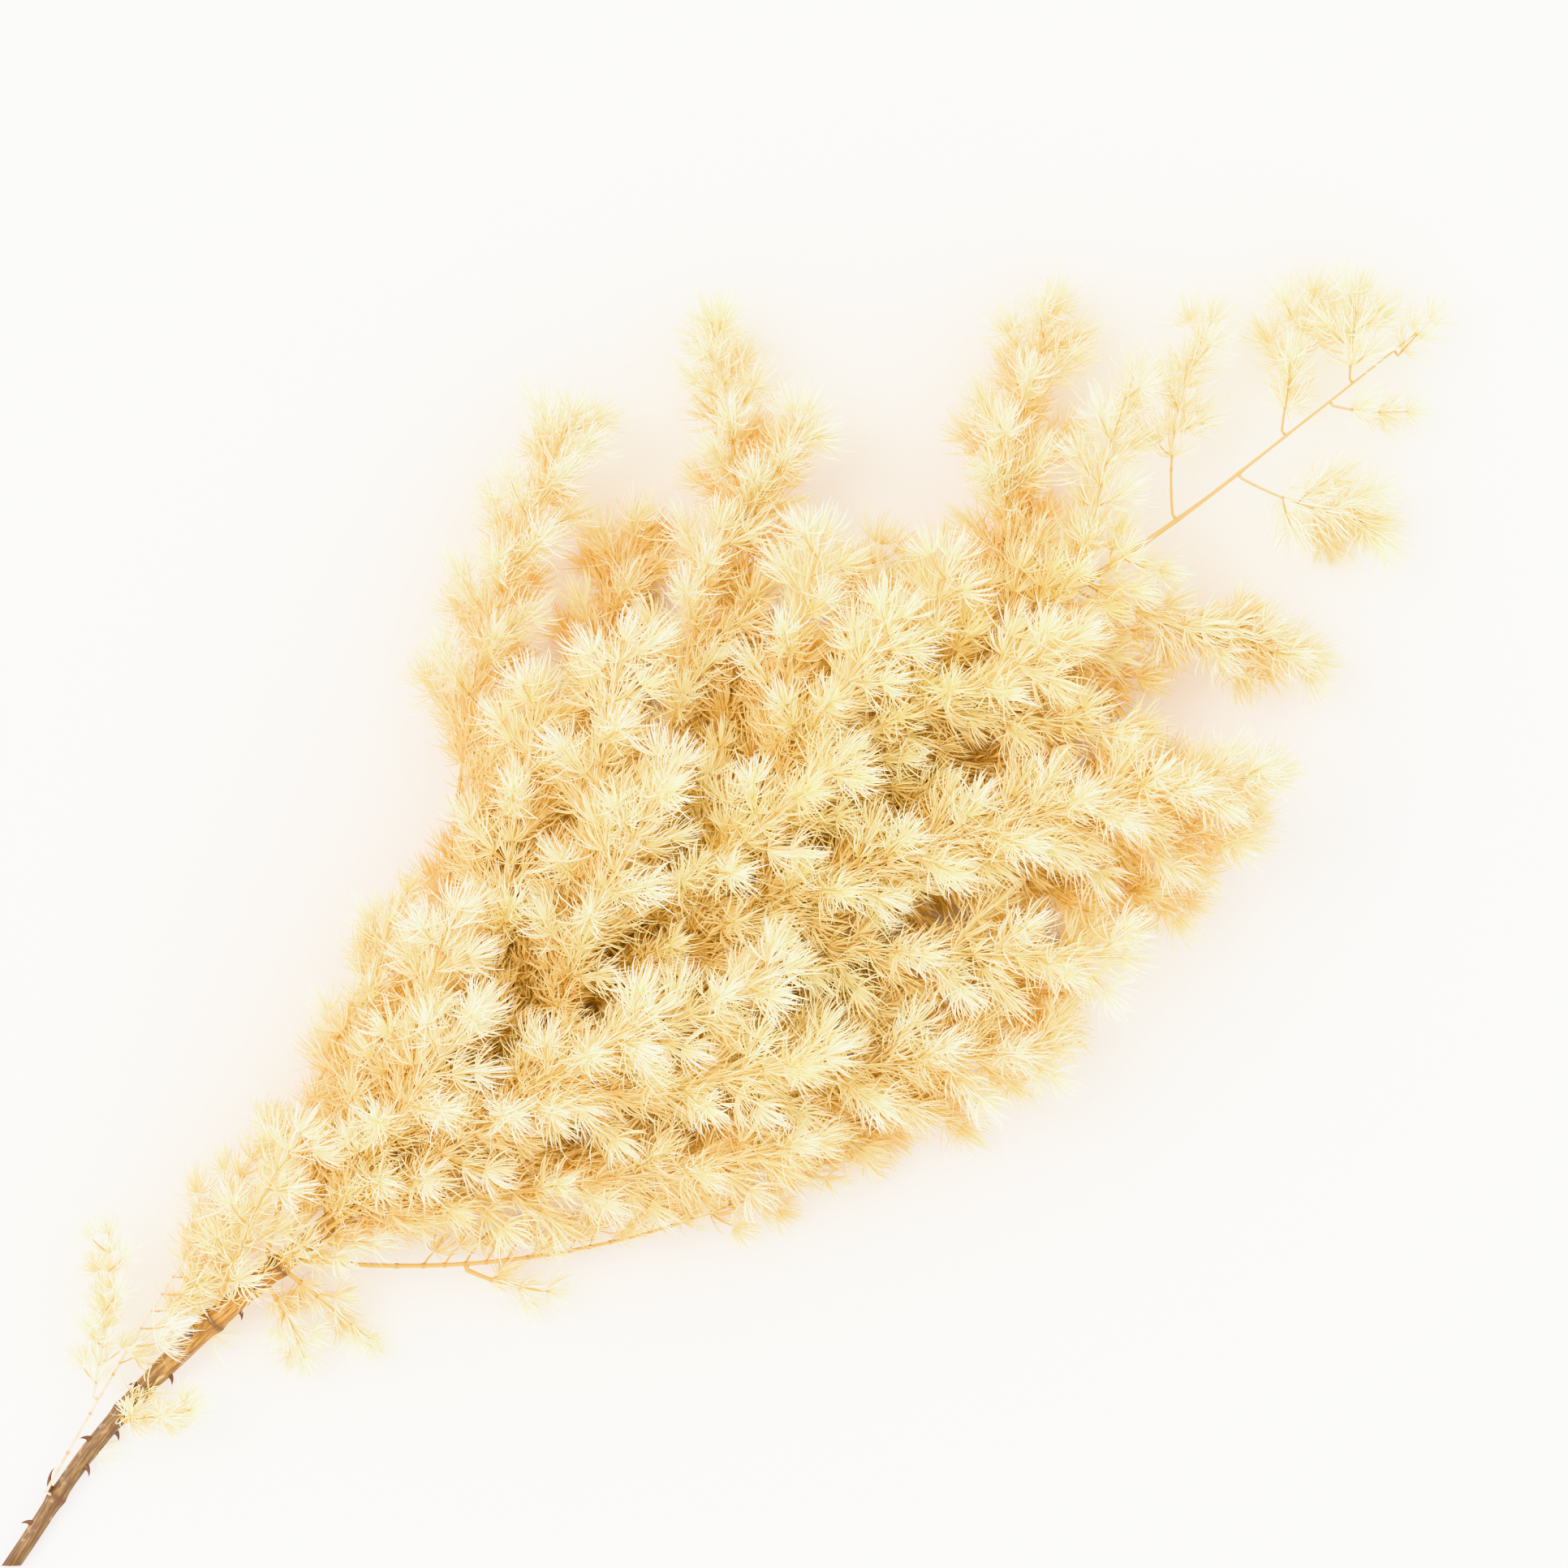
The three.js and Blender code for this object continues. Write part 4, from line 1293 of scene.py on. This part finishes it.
class FoliageSettings(bpy.types.PropertyGroup):
    """The sizes and colours of the needles and twigs."""

    needle_length: length_setting("Needle length", "The length of a middling needle", 0.0153)
    needle_width: length_setting("Needle width", "How wide a needle is in the open", 0.0004)
    bundles: IntProperty(name="Bundles", description="Bundles of needles in a tuft", default=14, min=3)
    tuft_gap: length_setting("Tuft gap", "The distance between tufts on a side twig", 0.0075)
    needle_tip: colour_setting("Needle tip", "The outer part of a needle", (0.84, 0.875, 0.77))
    needle_root: colour_setting("Needle root", "The inner end of a needle", (0.84, 0.81, 0.53))
    needle_warm: colour_setting("Warm needle", "Needles that kept more colour", (0.86, 0.82, 0.44))
    needle_pale: colour_setting("Pale needle", "Patches that are bleached more", (0.85, 0.85, 0.75))
    needle_bleached: colour_setting("Bleached needle", "Needles far from the middle", (0.85, 0.865, 0.81))
    # Painted shade: the colours painted on needles deep among others, darker on the innermost ones
    needle_shaded: colour_setting("Shaded needle", "Needles deep among others", (0.86, 0.735, 0.32))
    needle_darkest_shade: colour_setting("Darkest shaded needle", "The innermost needles", (0.88, 0.63, 0.23))
    twig_root: colour_setting("Twig root", "The thick end of a twig", (0.66, 0.42, 0.11))
    twig_tip: colour_setting("Twig tip", "The thin end of a twig", (0.8, 0.55, 0.18))
    node_colour: colour_setting("Nodes", "The nodes that side twigs grow from", (0.5, 0.26, 0.08))


class StageSettings(bpy.types.PropertyGroup):
    """The floor, the lights and the camera."""

    floor_colour: colour_setting("Floor", "The pale floor", (0.9, 0.9, 0.9))
    sky_strength: FloatProperty(name="Sky", description="Light from all round", default=1.95, min=0)
    key_strength: FloatProperty(name="Key", description="Soft light from one side", default=2.4, min=0)
    camera_height: length_setting("Camera height", "Height above the floor", 9.0)
    camera_turn: FloatProperty(
        name="Camera turn",
        description="How the branch slopes up the picture",
        default=radians(41.7),
        subtype="ANGLE",
    )
    view_width: length_setting("View width", "What the picture spans at the branch", 0.5796)


# The stage, in metres: light bounces often among pale needles
FLOOR_HALF = 4
KEY_WAY = (-0.25, 0.55, 1.0)
KEY_ANGLE = radians(30)
KEY_COLOUR = (1.0, 0.98, 0.95)
DIFFUSE_BOUNCES = 10
MAX_BOUNCES = 12

# The camera: millimetres for the sensor, and metres for the height that the view width is given at
# and for how far it sees. The centre is a place in the tables.
SENSOR = 36
BRANCH_HEIGHT = 0.045
FARTHEST = 100
PICTURE_CENTRE = (403.9, 25.1, 0)


def dress(piece, slot_name, *nodes):
    """Makes a finished piece ride with the branch, in place of the solids named."""
    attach(piece, "root")
    if nodes:
        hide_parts(*nodes)


class FERN_OT_make_cane(bpy.types.Operator):
    """Make the cane with its cut end, knots and thorns"""

    bl_idname = "fern.make_cane"
    bl_label = "Make cane"

    def execute(self, context):
        look = context.scene.fern_cane
        materials = [bark_material(look), cut_material(look)]
        cane = link_object("cane_wood", make_cane_mesh(materials))
        dress(cane, "cane_bark", "cane")
        dress(make_thorns(thorn_material(look)), "cane_bark")
        return {"FINISHED"}


class FERN_OT_make_sprays(bpy.types.Operator):
    """Make every spray with its twig, side twigs and needles"""

    bl_idname = "fern.make_sprays"
    bl_label = "Make sprays"

    def execute(self, context):
        look = context.scene.fern_foliage
        materials = [twig_material(look), needle_material(look)]
        sprays = [Spray(index, row, look) for index, row in enumerate(SPRAYS)]
        cane_leaves = CaneLeaves(look)
        grown = [*sprays, cane_leaves]
        shelter = Shelter(np.concatenate([part.centres() for part in grown]))
        for part in grown:
            part.grow_needles()
        canopy = Canopy(np.concatenate([part.needles[:, 1:].reshape(-1, 3) for part in grown]))
        for spray in sprays:
            dress(spray.build(materials, shelter, canopy), "dried_foliage", spray.node_name)
        dress(cane_leaves.build(materials, shelter, canopy), "dried_foliage")
        return {"FINISHED"}


class FERN_OT_make_stage(bpy.types.Operator):
    """Make the pale floor, the soft light and the camera"""

    bl_idname = "fern.make_stage"
    bl_label = "Make stage"

    def execute(self, context):
        settings = context.scene.fern_stage
        self.make_floor(settings)
        self.make_light(context.scene, settings)
        self.make_camera(context.scene, settings)
        context.scene.view_settings.view_transform = "Khronos PBR Neutral"
        context.scene.cycles.diffuse_bounces = DIFFUSE_BOUNCES
        context.scene.cycles.max_bounces = MAX_BOUNCES
        return {"FINISHED"}

    def make_floor(self, settings):
        half = FLOOR_HALF
        corners = [(-half, -half, 0), (half, -half, 0), (half, half, 0), (-half, half, 0)]
        mesh = bpy.data.meshes.new("floor")
        mesh.from_pydata(corners, [], [(0, 1, 2, 3)])
        material, shade = new_material("floor_card")
        finish_material(shade, {"Base Color": opaque(settings.floor_colour), "Roughness": 0.9})
        mesh.materials.append(material)
        link_object("floor", mesh)

    def make_light(self, scene, settings):
        world = bpy.data.worlds.new("studio")
        scene.world = world
        world.use_nodes = True
        background = world.node_tree.nodes["Background"]
        background.inputs["Color"].default_value = (1.0, 1.0, 1.0, 1.0)
        background.inputs["Strength"].default_value = settings.sky_strength
        sun = bpy.data.lights.new("key", "SUN")
        sun.energy = settings.key_strength
        sun.angle = KEY_ANGLE
        sun.color = KEY_COLOUR
        key = bpy.data.objects.new("key", sun)
        key.rotation_euler = Vector(KEY_WAY).to_track_quat("Z", "Y").to_euler()
        scene.collection.objects.link(key)

    def make_camera(self, scene, settings):
        camera = bpy.data.cameras.new("camera")
        camera.sensor_width = SENSOR
        camera.lens = SENSOR * (settings.camera_height - BRANCH_HEIGHT) / settings.view_width
        camera.clip_end = FARTHEST
        made = bpy.data.objects.new("camera", camera)
        x, y, _ = in_frame(PICTURE_CENTRE)
        made.location = (x, y, settings.camera_height)
        made.rotation_euler = (0, 0, -settings.camera_turn)
        scene.collection.objects.link(made)
        scene.camera = made


class FERN_PT_panel(bpy.types.Panel):
    """The settings and the steps of making the branch"""

    bl_label = "Dried asparagus fern"
    bl_space_type = "VIEW_3D"
    bl_region_type = "UI"
    bl_category = "Fern"

    def draw(self, context):
        for step in STEPS:
            self.layout.operator(step.bl_idname)
        for name in SETTINGS:
            box = self.layout.box()
            settings = getattr(context.scene, name)
            for setting in settings.bl_rna.properties:
                if setting.identifier not in {"rna_type", "name"}:
                    box.prop(settings, setting.identifier)


STEPS = (FERN_OT_make_cane, FERN_OT_make_sprays, FERN_OT_make_stage)
SETTINGS = {
    "fern_cane": CaneSettings,
    "fern_foliage": FoliageSettings,
    "fern_stage": StageSettings,
}
CLASSES = (*SETTINGS.values(), *STEPS, FERN_PT_panel)


def register():
    for made in CLASSES:
        bpy.utils.register_class(made)
    for name, settings in SETTINGS.items():
        setattr(bpy.types.Scene, name, PointerProperty(type=settings))


def unregister():
    for name in SETTINGS:
        delattr(bpy.types.Scene, name)
    for made in reversed(CLASSES):
        bpy.utils.unregister_class(made)


def main():
    register()
    bpy.ops.fern.make_cane()
    bpy.ops.fern.make_sprays()
    bpy.ops.fern.make_stage()


if __name__ == "__main__":
    main()
